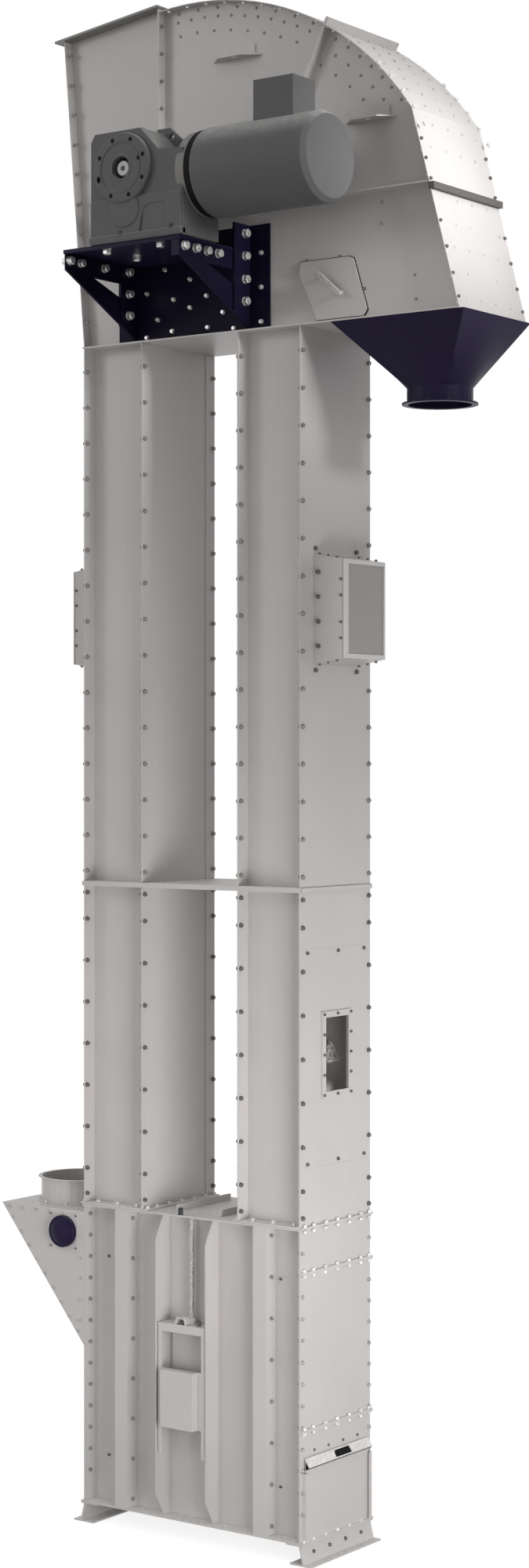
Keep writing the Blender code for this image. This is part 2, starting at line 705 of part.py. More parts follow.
def make_belt(rubber):
    inner = PULLEY_RADIUS + BELT_CLEARANCE
    outer = inner + BELT_THICKNESS
    steps = 16
    half = BELT_WIDTH / 2
    # The inner line is drawn outside its circle, so that the flats keep clear of the drum.
    inner_line = loop_line(inner / math.cos(math.pi / steps / 2), steps)
    shape = band(bmesh.new(), loop_line(outer, steps), inner_line, "y", -half, half)
    belt = piece("bucket_belt", shape, rubber)

    buckets = bmesh.new()
    length = 2 * math.hypot(TAKE_UP_X, HEAD_SHAFT_Z - BOOT_SHAFT_Z) + math.tau * outer
    count = round(length / BUCKET_PITCH)
    half_back = BUCKET_BACK / 2
    # A bucket in its own plane, from its lip round to its back: out from the belt, and along the belt's travel.
    profile = [
        (BUCKET_REACH, 0.45 * half_back),
        (0.85 * BUCKET_REACH, -0.25 * half_back),
        (0.35 * BUCKET_REACH, -half_back),
        (0.0, -half_back),
        (0.0, half_back),
    ]
    for i in range(count):
        point, out = loop_frame((i + BUCKET_PHASE) * length / count, outer - BELT_THICKNESS / 4)
        travel = Vector((out.y, -out.x))
        line = [tuple(point + out * a + travel * b) for a, b in profile]
        tub(buckets, line, BUCKET_WALL, "y", -BUCKET_WIDTH / 2, BUCKET_WIDTH / 2)
    weld(belt, buckets)


def gate_keeper(side):
    """One of the two folded strips that hold the gate's long edges."""
    half = GATE_WIDTH / 2
    inner = HALF_LENGTH + RUNNING_CLEARANCE
    near = side * (half + RUNNING_CLEARANCE)
    far = near + side * KEEPER_THICKNESS
    tip = side * (half - KEEPER_OVERLAP)
    out = inner + SHEET + RUNNING_CLEARANCE
    outline = [
        (HALF_LENGTH - SHEET / 2, near),
        (HALF_LENGTH - SHEET / 2, far),
        (out + SHEET, far),
        (out + SHEET, tip),
        (out, tip),
        (out, near),
    ]
    return prism(bmesh.new(), outline, "z", BOOT_FLOOR + GAP, KEEPER_TOP)


def make_gate(paint):
    inner = HALF_LENGTH + RUNNING_CLEARANCE
    line = [
        (inner, BOOT_FLOOR + GAP),
        (inner, GATE_TOP),
        (inner + GATE_LIP_REACH, GATE_TOP - GATE_LIP_DROP),
    ]
    half = GATE_WIDTH / 2
    gate = piece("clean_out_gate", prism(bmesh.new(), folded(line, -SHEET), "y", -half, half), paint)
    slot_low = HAND_SLOT_Y - HAND_SLOT_WIDTH / 2
    slot_high = HAND_SLOT_Y + HAND_SLOT_WIDTH / 2
    near = inner + 2 * SHEET
    far = inner + GATE_LIP_REACH - SHEET
    cut(gate, box(bmesh.new(), (near, slot_low, GATE_TOP - GATE_LIP_REACH * 2), (far, slot_high, GATE_TOP + SHEET)))


def make_inlet(paint, navy):
    wall = -HALF_LENGTH - GAP
    tip = wall - HOPPER_REACH
    line = [(wall, HOPPER_TOP), (tip, HOPPER_TOP), (wall, HOPPER_TOP - HOPPER_DROP)]
    hopper = piece("inlet_hopper", tub(bmesh.new(), line, SHEET, "y", -HALF_DEPTH, HALF_DEPTH), paint)
    spout_x = -HALF_LENGTH - SPOUT_OFFSET
    bore = SPOUT_RADIUS - SHEET
    cut(hopper, disc(bmesh.new(), "z", spout_x, 0.0, bore, HOPPER_TOP - 0.03, HOPPER_TOP + 0.03, 32))

    foot = HOPPER_TOP + GAP
    rim = foot + SPOUT_HEIGHT
    profile = [
        (foot, bore),
        (rim, bore),
        (rim, SPOUT_RADIUS + SPOUT_RIM),
        (rim - SHEET, SPOUT_RADIUS + SPOUT_RIM),
        (rim - SHEET, SPOUT_RADIUS),
        (foot + SHEET, SPOUT_RADIUS),
        (foot + SHEET, SPOUT_RADIUS + SPOUT_RIM),
        (foot, SPOUT_RADIUS + SPOUT_RIM),
    ]
    piece("inlet_spout", turned(bmesh.new(), profile, "z", spout_x, 0.0, 32), paint, smooth=True)

    face = -HALF_DEPTH - GAP
    half = SENSOR_PLATE / 2
    sensor = box(bmesh.new(), (SENSOR_X - half, face - SHEET, SENSOR_Z - half), (SENSOR_X + half, face, SENSOR_Z + half))
    sensor = piece("level_sensor", sensor, navy, smooth=True)
    near = face - SHEET
    cap = [
        (near + SHEET / 2, 0.0),
        (near + SHEET / 2, SENSOR_RADIUS),
        (near - 0.8 * SENSOR_DEPTH, SENSOR_RADIUS),
        (near - SENSOR_DEPTH, 0.85 * SENSOR_RADIUS),
        (near - SENSOR_DEPTH, 0.0),
    ]
    weld(sensor, turned(bmesh.new(), cap, "y", SENSOR_X, SENSOR_Z, 32))


def leg_duct(name, x, low, high, paint, open_side=0):
    """One leg section: two side sheets, with the front and back pans set in between them."""
    half = LEG_WIDTH / 2
    ends = []
    for side in (-1, 1):
        # On the open side the duct stops short of the sheet that closes it.
        ends.append(x + side * (half - SHEET - GAP if side == open_side else half))
    left, right = ends
    outer = [
        (left, -HALF_DEPTH),
        (left + SHEET, -HALF_DEPTH),
        (left + SHEET, -PAN_Y),
        (right - SHEET, -PAN_Y),
        (right - SHEET, -HALF_DEPTH),
        (right, -HALF_DEPTH),
        (right, HALF_DEPTH),
        (right - SHEET, HALF_DEPTH),
        (right - SHEET, PAN_Y),
        (left + SHEET, PAN_Y),
        (left + SHEET, HALF_DEPTH),
        (left, HALF_DEPTH),
    ]
    duct = piece(name, prism(bmesh.new(), outer, "z", low, high), paint)
    inner = PAN_Y - SHEET
    bore_left = left + SHEET if open_side != -1 else left - SHEET
    bore_right = right - SHEET if open_side != 1 else right + SHEET
    cut(duct, box(bmesh.new(), (bore_left, -inner, low - SHEET), (bore_right, inner, high + SHEET)))
    return duct


def make_legs(paint):
    lower = (DECK_Z + FLANGE_PLATE + GAP, TIE_Z - TIE_PLATE / 2 - GAP)
    upper = (TIE_Z + TIE_PLATE / 2 + GAP, HEAD_Z - GAP)
    leg_duct("left_leg_lower", -LEG_X, *lower, paint)
    leg_duct("right_leg_lower", LEG_X, *lower, paint, open_side=1)
    seam = GAP / 2
    levels = (
        ("right_leg_bottom_sheet", lower[0], SERVICE_PANEL_BOTTOM - seam),
        ("service_panel", SERVICE_PANEL_BOTTOM + seam, SERVICE_PANEL_TOP - seam),
        ("right_leg_top_sheet", SERVICE_PANEL_TOP + seam, lower[1]),
    )
    for name, low, high in levels:
        sheet = box(bmesh.new(), (HALF_LENGTH - SHEET, -HALF_DEPTH, low), (HALF_LENGTH, HALF_DEPTH, high))
        sheet = piece(name, sheet, paint)
        if name == "service_panel":
            cut(sheet, window_box(WINDOW_WIDTH, WINDOW_HEIGHT, 0.0, 1.0))

    lip_x = HALF_LENGTH + FLANGE_LIP
    lip_y = HALF_DEPTH + FLANGE_LIP
    half = TIE_PLATE / 2
    tie = piece("leg_tie_plate", box(bmesh.new(), (-lip_x, -lip_y, TIE_Z - half), (lip_x, lip_y, TIE_Z + half)), paint)
    for x in (-LEG_X, LEG_X):
        cut(tie, leg_opening(x))

    hole = (VENT_WIDTH - 2 * SHEET, VENT_HEIGHT - 2 * SHEET, HALF_LENGTH - PAN_RECESS, HALF_LENGTH + PAN_RECESS)
    for side, name in ((-1, "left_leg_upper"), (1, "right_leg_upper")):
        cut(leg_duct(name, side * LEG_X, *upper, paint), vent_box(side, *hole))


def window_box(width, height, near, far):
    low = WINDOW_CENTRE_Z - height / 2
    return box(bmesh.new(), (near, -width / 2, low), (far, width / 2, low + height))


def vent_box(side, width, height, near, far):
    low_x, high_x = sorted((side * near, side * far))
    low = VENT_CENTRE_Z - height / 2
    return box(bmesh.new(), (low_x, -width / 2, low), (high_x, width / 2, low + height))


def make_window(paint, glass):
    near = HALF_LENGTH + GAP
    far = near + WINDOW_FRAME_THICKNESS
    frame = window_box(WINDOW_WIDTH + 2 * WINDOW_FRAME, WINDOW_HEIGHT + 2 * WINDOW_FRAME, near, far)
    frame = piece("inspection_frame", frame, paint)
    cut(frame, window_box(WINDOW_WIDTH, WINDOW_HEIGHT, 0.0, 1.0))
    pane = window_box(WINDOW_WIDTH - 2 * GAP, WINDOW_HEIGHT - 2 * GAP, near, near + GLASS)
    piece("inspection_glass", pane, glass)


def rectangle(half_width, low, high):
    return [(-half_width, low), (half_width, low), (half_width, high), (-half_width, high)]


def make_vents(paint, grey):
    def ring(side, extra, near, far):
        half = VENT_WIDTH / 2
        low = VENT_CENTRE_Z - VENT_HEIGHT / 2
        high = VENT_CENTRE_Z + VENT_HEIGHT / 2
        outer = rectangle(half + extra, low - extra, high + extra)
        inner = rectangle(half - SHEET, low + SHEET, high - SHEET)
        return band(bmesh.new(), outer, inner, "x", side * near, side * far)

    root = HALF_LENGTH + GAP
    tip = root + VENT_REACH
    face = tip + GAP
    for side, name in ((-1, "left"), (1, "right")):
        duct = piece(f"{name}_vent_duct", ring(side, 0.0, root, tip), paint)
        weld(duct, ring(side, VENT_FLANGE, root, root + SHEET))
        weld(duct, ring(side, VENT_RIM, tip - SHEET, tip))
        size = VENT_WIDTH + 2 * VENT_RIM, VENT_HEIGHT + 2 * VENT_RIM
        piece(f"{name}_vent_panel", vent_box(side, *size, face, face + VENT_PANEL), grey)


def add_lug(plate, side, x, z):
    """An angle on the head plate, with its flat leg held out level at the foot."""
    root = side * (HEAD_PLATE_Y - HEAD_PLATE / 2)
    face = side * (HEAD_PLATE_Y + LUG_THICKNESS)
    tip = side * (HEAD_PLATE_Y + LUG_REACH)
    half = LUG_LENGTH / 2
    shelf = [(x - half, root), (x + half, root), (x + half, face), (x + half - LUG_CORNER, tip)]
    shelf += [(x - half + LUG_CORNER, tip), (x - half, face)]
    weld(plate, prism(bmesh.new(), shelf, "z", z, z + LUG_THICKNESS))
    rows = sorted((root, face))
    upright = (x - half + LUG_CORNER / 2, rows[0], z + LUG_THICKNESS / 2), (x + half - LUG_CORNER / 2, rows[1], z + LUG_PLATE)
    weld(plate, box(bmesh.new(), *upright))
    y = side * (HEAD_PLATE_Y + LUG_REACH / 2)
    cut(plate, disc(bmesh.new(), "z", x, y, LUG_HOLE, z - LUG_THICKNESS, z + 2 * LUG_THICKNESS, 16))


def make_head(paint):
    lip_y = HALF_DEPTH + FLANGE_LIP
    left_edge = -HALF_LENGTH - FLANGE_LIP
    floor = box(bmesh.new(), (left_edge, -lip_y, HEAD_Z), (THROAT_X + FLANGE_LIP, lip_y, HEAD_FLOOR_TOP))
    floor = piece("head_floor", floor, paint)
    for x in (-LEG_X, LEG_X):
        cut(floor, leg_opening(x))
    throat = 0.030
    throat_y = HEAD_PLATE_Y - HEAD_PLATE - SHEET
    cut(
        floor,
        box(
            bmesh.new(),
            (DISCHARGE_LEFT_X + throat, -throat_y, HEAD_Z - 0.1),
            (THROAT_X - throat, throat_y, HEAD_Z + 0.1),
        ),
    )

    low = HEAD_FLOOR_TOP + GAP
    wall_top = roof_underside(WALL_TOP_X) - GAP
    wall = [(-HALF_LENGTH, low), (WALL_TOP_X, wall_top)]
    inner_foot = (-HALF_LENGTH + SHEET, low)
    inner_top = (WALL_TOP_X + SHEET, roof_underside(WALL_TOP_X + SHEET) - GAP)
    outline = [wall[0], wall[1], inner_top, inner_foot]
    piece("head_left_wall", prism(bmesh.new(), outline, "y", -HALF_DEPTH, HALF_DEPTH), paint)

    reach = HALF_DEPTH + ROOF_OVERHANG
    right_z = roof_underside(FEED_JOINT_X)
    roof = [
        (ROOF_LEFT_X, right_z - ROOF_RISE),
        (FEED_JOINT_X, right_z),
        (FEED_JOINT_X, right_z + ROOF_PLATE),
        (ROOF_LEFT_X, right_z - ROOF_RISE + ROOF_PLATE),
    ]
    piece("head_roof", prism(bmesh.new(), roof, "y", -reach, reach), paint)

    seam = GAP / 2
    hood = folded(hood_arc(FEED_JOINT_X + seam, CHUTE_JOINT_X - seam, 12), -SHEET)
    piece("head_hood", prism(bmesh.new(), hood, "y", -HALF_DEPTH, HALF_DEPTH), paint, smooth=True)
    split_x = SHOULDER_X + (THROAT_X - SHOULDER_X) * (arc_z(SHOULDER_X) - CHUTE_SPLIT_Z) / (arc_z(SHOULDER_X) - HEAD_Z)
    upper = hood_arc(CHUTE_JOINT_X + seam, SHOULDER_X, 6) + [(split_x, CHUTE_SPLIT_Z + seam)]
    upper = folded(upper, -SHEET)
    skin = piece("chute_upper_skin", prism(bmesh.new(), upper, "y", -HALF_DEPTH, HALF_DEPTH), paint, smooth=True)
    # The flange over the slanted joint stands square to the round of the hood.
    out = Vector((CHUTE_JOINT_X - HOOD_CENTRE_X, arc_z(CHUTE_JOINT_X) - HOOD_CENTRE_Z)).normalized()
    along = Vector((out.y, -out.x)) * HOOD_FLANGE_THICKNESS
    foot = Vector((CHUTE_JOINT_X, arc_z(CHUTE_JOINT_X))) + along / 8 - out * SHEET
    tip = foot + out * (HOOD_FLANGE_REACH + SHEET)
    strip = [tuple(corner) for corner in (foot, tip, tip + along, foot + along)]
    weld(skin, prism(bmesh.new(), strip, "y", -HALF_DEPTH - FLANGE_LIP, HALF_DEPTH + FLANGE_LIP))
    top = Vector((split_x, CHUTE_SPLIT_Z - seam))
    foot = Vector((THROAT_X, low))
    inner_top = Vector(shifted([tuple(top), tuple(foot)], -SHEET)[0])
    inner_foot = inner_top + (foot - top) * (inner_top.y - low) / (top.y - low)
    lower = [tuple(point) for point in (top, foot, inner_foot, inner_top)]
    skin = piece("chute_lower_skin", prism(bmesh.new(), lower, "y", -HALF_DEPTH, HALF_DEPTH), paint)
    # Flat bar across the skin under its upper edge
    run = (foot - top) / (top.y - foot.y)
    high = top + run * 2 * SHEET
    under = high + run * CHUTE_FLANGE_HEIGHT
    far = max(high.x, under.x) + CHUTE_FLANGE_REACH
    bar = [(high.x - SHEET / 2, high.y), (far, high.y), (far, under.y), (under.x - SHEET / 2, under.y)]
    weld(skin, prism(bmesh.new(), bar, "y", -HALF_DEPTH - FLANGE_LIP, HALF_DEPTH + FLANGE_LIP))

    inset = SHEET + GAP
    inner_radius = HOOD_RADIUS - inset
    feed_right = FEED_JOINT_X - seam
    left_low = -HALF_LENGTH + inset
    left_high = WALL_TOP_X + inset
    feed = [
        (left_low, low),
        (feed_right, low),
        (feed_right, roof_underside(feed_right) - GAP),
        (left_high, roof_underside(left_high) - GAP),
    ]
    arc = hood_arc(FEED_JOINT_X + seam, CHUTE_JOINT_X - 0.002, 12, inner_radius)
    hood_plate = [(FEED_JOINT_X + seam, low)] + arc + [(CHUTE_LINE_X - seam, CHUTE_SPLIT_Z), (CHUTE_LINE_X - seam, low)]
    arc = hood_arc(CHUTE_JOINT_X - 0.002 + GAP, SHOULDER_X - inset, 6, inner_radius)
    chute = [(CHUTE_LINE_X + seam, low), (CHUTE_LINE_X + seam, CHUTE_SPLIT_Z)] + arc
    chute += [(split_x - inset - GAP, CHUTE_SPLIT_Z), (THROAT_X - inset - GAP, low)]
    half = JOINT_FLANGE / 2
    for side, place in ((-1, "front"), (1, "back")):
        faces = side * HEAD_PLATE_Y, side * (HEAD_PLATE_Y - HEAD_PLATE)
        root = side * (HEAD_PLATE_Y - HEAD_PLATE / 2)
        rows = sorted((root, side * HALF_DEPTH))
        plate = piece(f"head_{place}_feed_plate", prism(bmesh.new(), feed, "y", *faces), paint)
        foot = BACK_PLATE_TOP + SHEET if side < 0 else low
        high = roof_underside(FEED_JOINT_X - JOINT_FLANGE) - SHEET
        weld(plate, box(bmesh.new(), (feed_right - JOINT_FLANGE, rows[0], foot), (feed_right, rows[1], high)))

        plate = piece(f"head_{place}_hood_plate", prism(bmesh.new(), hood_plate, "y", *faces), paint)
        out = side * (HEAD_PLATE_Y + (BEARING_FRONT_DEPTH if side < 0 else BEARING_DEPTH))
        weld(plate, disc(bmesh.new(), "y", 0.0, HEAD_SHAFT_Z, BEARING_RADIUS, root, out, 24))
        hole = (HEAD_SHAFT_RADIUS + ROD_CLEARANCE) / math.cos(math.pi / 24)
        cut(plate, disc(bmesh.new(), "y", 0.0, HEAD_SHAFT_Z, hole, side * SHEET, side * 1.0, 24))
        add_lug(plate, side, HOOD_LUG_X, HOOD_LUG_Z)

        plate = piece(f"head_{place}_chute_plate", prism(bmesh.new(), chute, "y", *faces), paint)
        start = Vector((CHUTE_LINE_X, CHUTE_SPLIT_Z)) + Vector((JOINT_FLANGE, 0.0))
        end = Vector(arc[0]) + Vector((JOINT_FLANGE, 0.0))
        run = (end - start).normalized()
        across = Vector((run.y, -run.x)) * half
        strip = [tuple(corner) for corner in (start - across, end - across - run * 0.01, end + across - run * 0.01, start + across)]
        weld(plate, prism(bmesh.new(), strip, "y", root, side * HALF_DEPTH))
        right = split_x - inset - SHEET
        bar = (CHUTE_LINE_X + JOINT_FLANGE, rows[0], CHUTE_SPLIT_Z - half), (right, rows[1], CHUTE_SPLIT_Z + half)
        weld(plate, box(bmesh.new(), *bar))
        add_lug(plate, side, CHUTE_LUG_X, CHUTE_LUG_Z)


def make_discharge(navy):
    top = HEAD_Z - GAP
    bottom = top - DISCHARGE_DROP
    count = 32
    left = DISCHARGE_LEFT_X
    right = THROAT_X + DISCHARGE_LIP
    half = HALF_DEPTH

    def square(x0, x1, y):
        """Points round a rectangle, in step with the points of a circle."""
        middle = (x0 + x1) / 2
        points = []
        for i in range(count):
            a = math.tau * i / count
            c, s = math.cos(a), math.sin(a)
            k = 1.0 / max(abs(c), abs(s))
            points.append((middle + c * k * (x1 - x0) / 2, s * k * y))
        return points

    shape = bmesh.new()
    rings = []
    for outline, z in (
        (square(left, right, half), top),
        (circle(DISCHARGE_X, 0.0, DISCHARGE_RADIUS, count), bottom),
        (circle(DISCHARGE_X, 0.0, DISCHARGE_RADIUS - SHEET, count), bottom),
        (square(left + SHEET, right - SHEET, half - SHEET), top),
    ):
        rings.append([shape.verts.new((a, b, z)) for a, b in outline])
    for first, second in zip(rings, rings[1:] + rings[:1]):
        for i in range(count):
            j = (i + 1) % count
            shape.faces.new((first[i], second[i], second[j], first[j]))
    bmesh.ops.triangulate(shape, faces=shape.faces)
    piece("discharge_hopper", shape, navy, smooth=True)

    high = bottom - GAP
    low = high - COLLAR_HEIGHT
    bore = DISCHARGE_RADIUS - SHEET
    profile = [
        (high, bore),
        (high, DISCHARGE_RADIUS),
        (low + FLANGE_PLATE, DISCHARGE_RADIUS),
        (low + FLANGE_PLATE, DISCHARGE_RADIUS + COLLAR_FLANGE),
        (low, DISCHARGE_RADIUS + COLLAR_FLANGE),
        (low, bore),
    ]
    piece("discharge_collar", turned(bmesh.new(), profile, "z", DISCHARGE_X, 0.0, 32), navy, smooth=True)


def make_bracket(navy):
    wall = -HEAD_PLATE_Y - GAP
    face = wall - BRACKET_PLATE
    back = box(bmesh.new(), (BACK_PLATE_LEFT, face, BACK_PLATE_BOTTOM), (BACK_PLATE_RIGHT, wall, BACK_PLATE_TOP))
    frame = piece("bracket_frame", back, navy)

    top = BRACKET_TOP - BRACKET_PLATE
    low = BACK_PLATE_BOTTOM
    near = face - GAP
    tip = BRACKET_FRONT + BRACKET_PLATE + GAP
    root = face + BRACKET_PLATE / 2
    outline = [(root, low), (root, top - GAP), (tip, top - GAP), (tip, top - BRACKET_APRON + BRACKET_PLATE)]
    hole = [
        (near - BRACKET_ARM, low + 2.0 * BRACKET_ARM),
        (near - BRACKET_ARM, top - BRACKET_ARM),
        (tip + 2.2 * BRACKET_ARM, top - BRACKET_ARM),
    ]
    for x in (BRACKET_LEFT, BRACKET_RIGHT - BRACKET_PLATE):
        weld(frame, prism(bmesh.new(), outline, "x", x, x + BRACKET_PLATE))
        cut(frame, prism(bmesh.new(), hole, "x", x - BRACKET_PLATE / 2, x + 1.5 * BRACKET_PLATE))
    # An upright angle stiffens each side plate. The right one rises past the platform to the top of the back plate.
    inner = BRACKET_LEFT + BRACKET_PLATE / 2, BRACKET_LEFT + 2 * BRACKET_PLATE, top - GAP
    outer = BRACKET_RIGHT + GAP, BRACKET_RIGHT + GAP + BRACKET_PLATE, BACK_PLATE_TOP
    edge = near - BRACKET_FLANGE
    for first, last, high in (inner, outer):
        angle = [(root, low), (root, high), (edge, high), (edge, low + 0.45 * BRACKET_FLANGE)]
        weld(frame, prism(bmesh.new(), angle, "x", first, last))

    front = BRACKET_FRONT
    outline = [
        (near, top),
        (front + BRACKET_PLATE, top),
        (front + BRACKET_PLATE, BRACKET_TOP - BRACKET_APRON),
        (front, BRACKET_TOP - BRACKET_APRON),
        (front, BRACKET_TOP),
        (near, BRACKET_TOP),
    ]
    piece("bracket_platform", prism(bmesh.new(), outline, "x", BRACKET_LEFT, BRACKET_RIGHT), navy)


def make_drive(gear_paint, motor_paint):
    low = BRACKET_TOP + GAP
    corner = 0.018
    outline = [
        (GEAR_LEFT, low),
        (GEAR_RIGHT, low),
        (GEAR_RIGHT, GEAR_SHOULDER_Z),
        (GEAR_CHAMFER_FOOT_X, GEAR_SHOULDER_Z + corner / 2),
        (GEAR_CHAMFER_TOP_X, GEAR_TOP),
        (GEAR_LEFT + corner, GEAR_TOP),
        (GEAR_LEFT, GEAR_TOP - 1.6 * corner),
    ]
    gear = piece("gear_unit", prism(bmesh.new(), outline, "y", GEAR_FRONT, GEAR_BACK), gear_paint)
    front = GEAR_FRONT - GEAR_DISC_DEPTH
    sunk = GEAR_FRONT + GEAR_WALL / 2
    weld(gear, disc(bmesh.new(), "y", 0.0, HEAD_SHAFT_Z, GEAR_DISC_RADIUS, front, sunk, 32))
    cap = GEAR_FRONT - GEAR_CAP_REACH
    weld(gear, disc(bmesh.new(), "y", 0.0, HEAD_SHAFT_Z - GEAR_CAP_DROP, GEAR_CAP_RADIUS, cap, sunk, 32))
    # The eye plate stands up behind the housing's chamfer.
    eye_front = MOTOR_Y
    eye_top = GEAR_TOP + GEAR_EYE_HEIGHT
    eye = [
        (0.0, GEAR_TOP - GEAR_WALL / 2),
        (GEAR_CHAMFER_FOOT_X, GEAR_SHOULDER_Z - GEAR_WALL / 2),
        (GEAR_CHAMFER_FOOT_X, GEAR_TOP - 2 * GEAR_WALL),
        (GEAR_CHAMFER_TOP_X + GEAR_WALL, eye_top),
        (0.0, eye_top),
    ]
    weld(gear, prism(bmesh.new(), eye, "y", eye_front, eye_front + GEAR_WALL))
    inner = [
        (GEAR_LEFT + GEAR_WALL, low + GEAR_WALL),
        (GEAR_RIGHT - GEAR_WALL, low + GEAR_WALL),
        (GEAR_RIGHT - GEAR_WALL, GEAR_SHOULDER_Z - GEAR_WALL),
        (GEAR_CHAMFER_FOOT_X - GEAR_WALL, GEAR_SHOULDER_Z - GEAR_WALL),
        (GEAR_CHAMFER_TOP_X - GEAR_WALL, GEAR_TOP - GEAR_WALL),
        (GEAR_LEFT + 2 * GEAR_WALL, GEAR_TOP - GEAR_WALL),
        (GEAR_LEFT + GEAR_WALL, GEAR_TOP - 3 * GEAR_WALL),
    ]
    cut(gear, prism(bmesh.new(), inner, "y", GEAR_FRONT + GEAR_WALL, GEAR_BACK - GEAR_WALL))
    cut(gear, disc(bmesh.new(), "y", 0.0, HEAD_SHAFT_Z, GEAR_BORE, front - 0.01, GEAR_BACK + 0.01, 24))
    eye_x = (GEAR_CHAMFER_TOP_X + GEAR_CHAMFER_FOOT_X) / 2
    eye_span = eye_front - GEAR_WALL, eye_front + 2 * GEAR_WALL
    cut(gear, disc(bmesh.new(), "y", eye_x, GEAR_TOP - GEAR_WALL, GEAR_EYE_HOLE, *eye_span, 16))
    pocket = [
        (GEAR_CHAMFER_TOP_X + 0.005, low + GEAR_FOOT_HEIGHT),
        (GEAR_RIGHT - 0.081, low + GEAR_FOOT_HEIGHT),
        (GEAR_RIGHT - 0.081, low + 0.110),
        (GEAR_CHAMFER_TOP_X + 0.035, low + 0.110),
    ]
    cut(gear, prism(bmesh.new(), pocket, "y", GEAR_FRONT - GEAR_WALL, GEAR_FRONT + GEAR_POCKET_DEPTH))
    foot = (GEAR_LEFT, GEAR_FRONT - GEAR_FOOT_REACH, low), (GEAR_RIGHT, GEAR_FRONT + GEAR_WALL / 2, low + GEAR_FOOT_HEIGHT)
    weld(gear, box(bmesh.new(), *foot))

    profile = [
        (GEAR_RIGHT + GAP, MOTOR_BORE),
        (GEAR_RIGHT + GAP, ADAPTER_RADIUS),
        (GEAR_RIGHT + ADAPTER_DEPTH, ADAPTER_RADIUS),
        (GEAR_RIGHT + ADAPTER_DEPTH, GROOVE_RADIUS),
        (MOTOR_START, GROOVE_RADIUS),
        (MOTOR_START, MOTOR_RADIUS),
        (MOTOR_END, MOTOR_RADIUS),
        (MOTOR_END, 0.0),
        (MOTOR_END - MOTOR_WALL, 0.0),
        (MOTOR_END - MOTOR_WALL, MOTOR_RADIUS - MOTOR_WALL),
        (MOTOR_START + MOTOR_WALL, MOTOR_RADIUS - MOTOR_WALL),
        (MOTOR_START + MOTOR_WALL, MOTOR_BORE),
    ]
    piece("motor", turned(bmesh.new(), profile, "x", MOTOR_Y, MOTOR_Z, 32), motor_paint, smooth=True)

    half = TERMINAL_DEPTH / 2
    terminal = box(
        bmesh.new(),
        (TERMINAL_LEFT, MOTOR_Y - half, MOTOR_Z + 0.5 * MOTOR_RADIUS),
        (TERMINAL_RIGHT, MOTOR_Y + half, TERMINAL_TOP),
    )
    terminal = piece("terminal_box", terminal, gear_paint)
    cut(terminal, disc(bmesh.new(), "x", MOTOR_Y, MOTOR_Z, MOTOR_RADIUS + GAP, MOTOR_START, MOTOR_END, 32))


def make_fittings(paint):
    near = -HEAD_PLATE_Y - GAP
    foot = HEAD_FLOOR_TOP + 0.010
    # Outline of the door, measured from the chute's line and the head floor
    offsets = [(0.185, 0.171), (0.194, 0.212), (0.400, 0.212), (0.419, 0.205), (0.477, 0.022), (0.462, 0.0), (0.263, 0.0)]
    door = [(CHUTE_LINE_X + a, foot + b) for a, b in offsets]
    piece("inspection_door", prism(bmesh.new(), door, "y", near, near - DOOR_DEPTH), paint)


def main():
    clear_scene()
    paint = finish("casing paint", (0.36, 0.34, 0.325), 0.45)
    navy = finish("navy paint", (0.020, 0.017, 0.045), 0.45)
    zinc = finish("zinc steel", (0.55, 0.55, 0.55), 0.35, 1.0)
    grey = finish("vent panel", (0.28, 0.27, 0.26), 0.5)
    gear_paint = finish("gear paint", (0.10, 0.10, 0.105), 0.5)
    motor_paint = finish("motor paint", (0.13, 0.13, 0.13), 0.45)
    rubber = finish("belt rubber", (0.02, 0.02, 0.02), 0.8)
    glass = finish("window glass", (0.05, 0.05, 0.05), 0.08)

    make_feet(paint)
    make_boot(paint)
    make_take_up(paint, zinc)
    make_pulleys(zinc)
    make_belt(rubber)
    make_gate(paint)
    make_inlet(paint, navy)
    make_legs(paint)
    make_window(paint, glass)
    make_vents(paint, grey)
    make_head(paint)
    make_discharge(navy)
    make_bracket(navy)
    make_drive(gear_paint, motor_paint)
    make_fittings(paint)

    base = bpy.data.objects.new("machine", None)
    base.location = -MIDDLE
    bpy.context.collection.objects.link(base)
    for thing in bpy.data.objects:
        if thing is not base:
            thing.parent = base


main()
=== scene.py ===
import math

import bpy
import numpy as np
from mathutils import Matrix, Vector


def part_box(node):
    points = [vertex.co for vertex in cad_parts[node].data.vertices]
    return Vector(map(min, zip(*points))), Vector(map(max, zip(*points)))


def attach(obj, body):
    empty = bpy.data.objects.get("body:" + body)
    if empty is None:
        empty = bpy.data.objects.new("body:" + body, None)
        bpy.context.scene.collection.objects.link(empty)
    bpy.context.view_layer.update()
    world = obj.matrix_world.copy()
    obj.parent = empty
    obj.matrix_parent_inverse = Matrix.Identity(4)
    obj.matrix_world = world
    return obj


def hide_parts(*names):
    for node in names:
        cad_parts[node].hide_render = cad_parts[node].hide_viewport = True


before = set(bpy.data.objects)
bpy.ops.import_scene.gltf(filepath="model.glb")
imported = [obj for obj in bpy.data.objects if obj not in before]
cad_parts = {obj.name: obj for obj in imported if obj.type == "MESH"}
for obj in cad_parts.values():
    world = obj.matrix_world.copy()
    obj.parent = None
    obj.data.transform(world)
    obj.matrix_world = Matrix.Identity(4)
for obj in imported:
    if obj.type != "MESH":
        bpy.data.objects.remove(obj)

scene = bpy.context.scene
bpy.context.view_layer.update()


# The elevator's middle line
# Sizes below are measured from the middle of the boot at floor level, as a fitter would measure them.
# The tie plate holds both legs, so its middle is the middle of the machine.
TIE_LOW, TIE_HIGH = (np.array(corner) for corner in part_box("leg_tie_plate"))
MIDDLE = (TIE_LOW + TIE_HIGH) / 2 * (1, 1, 0)


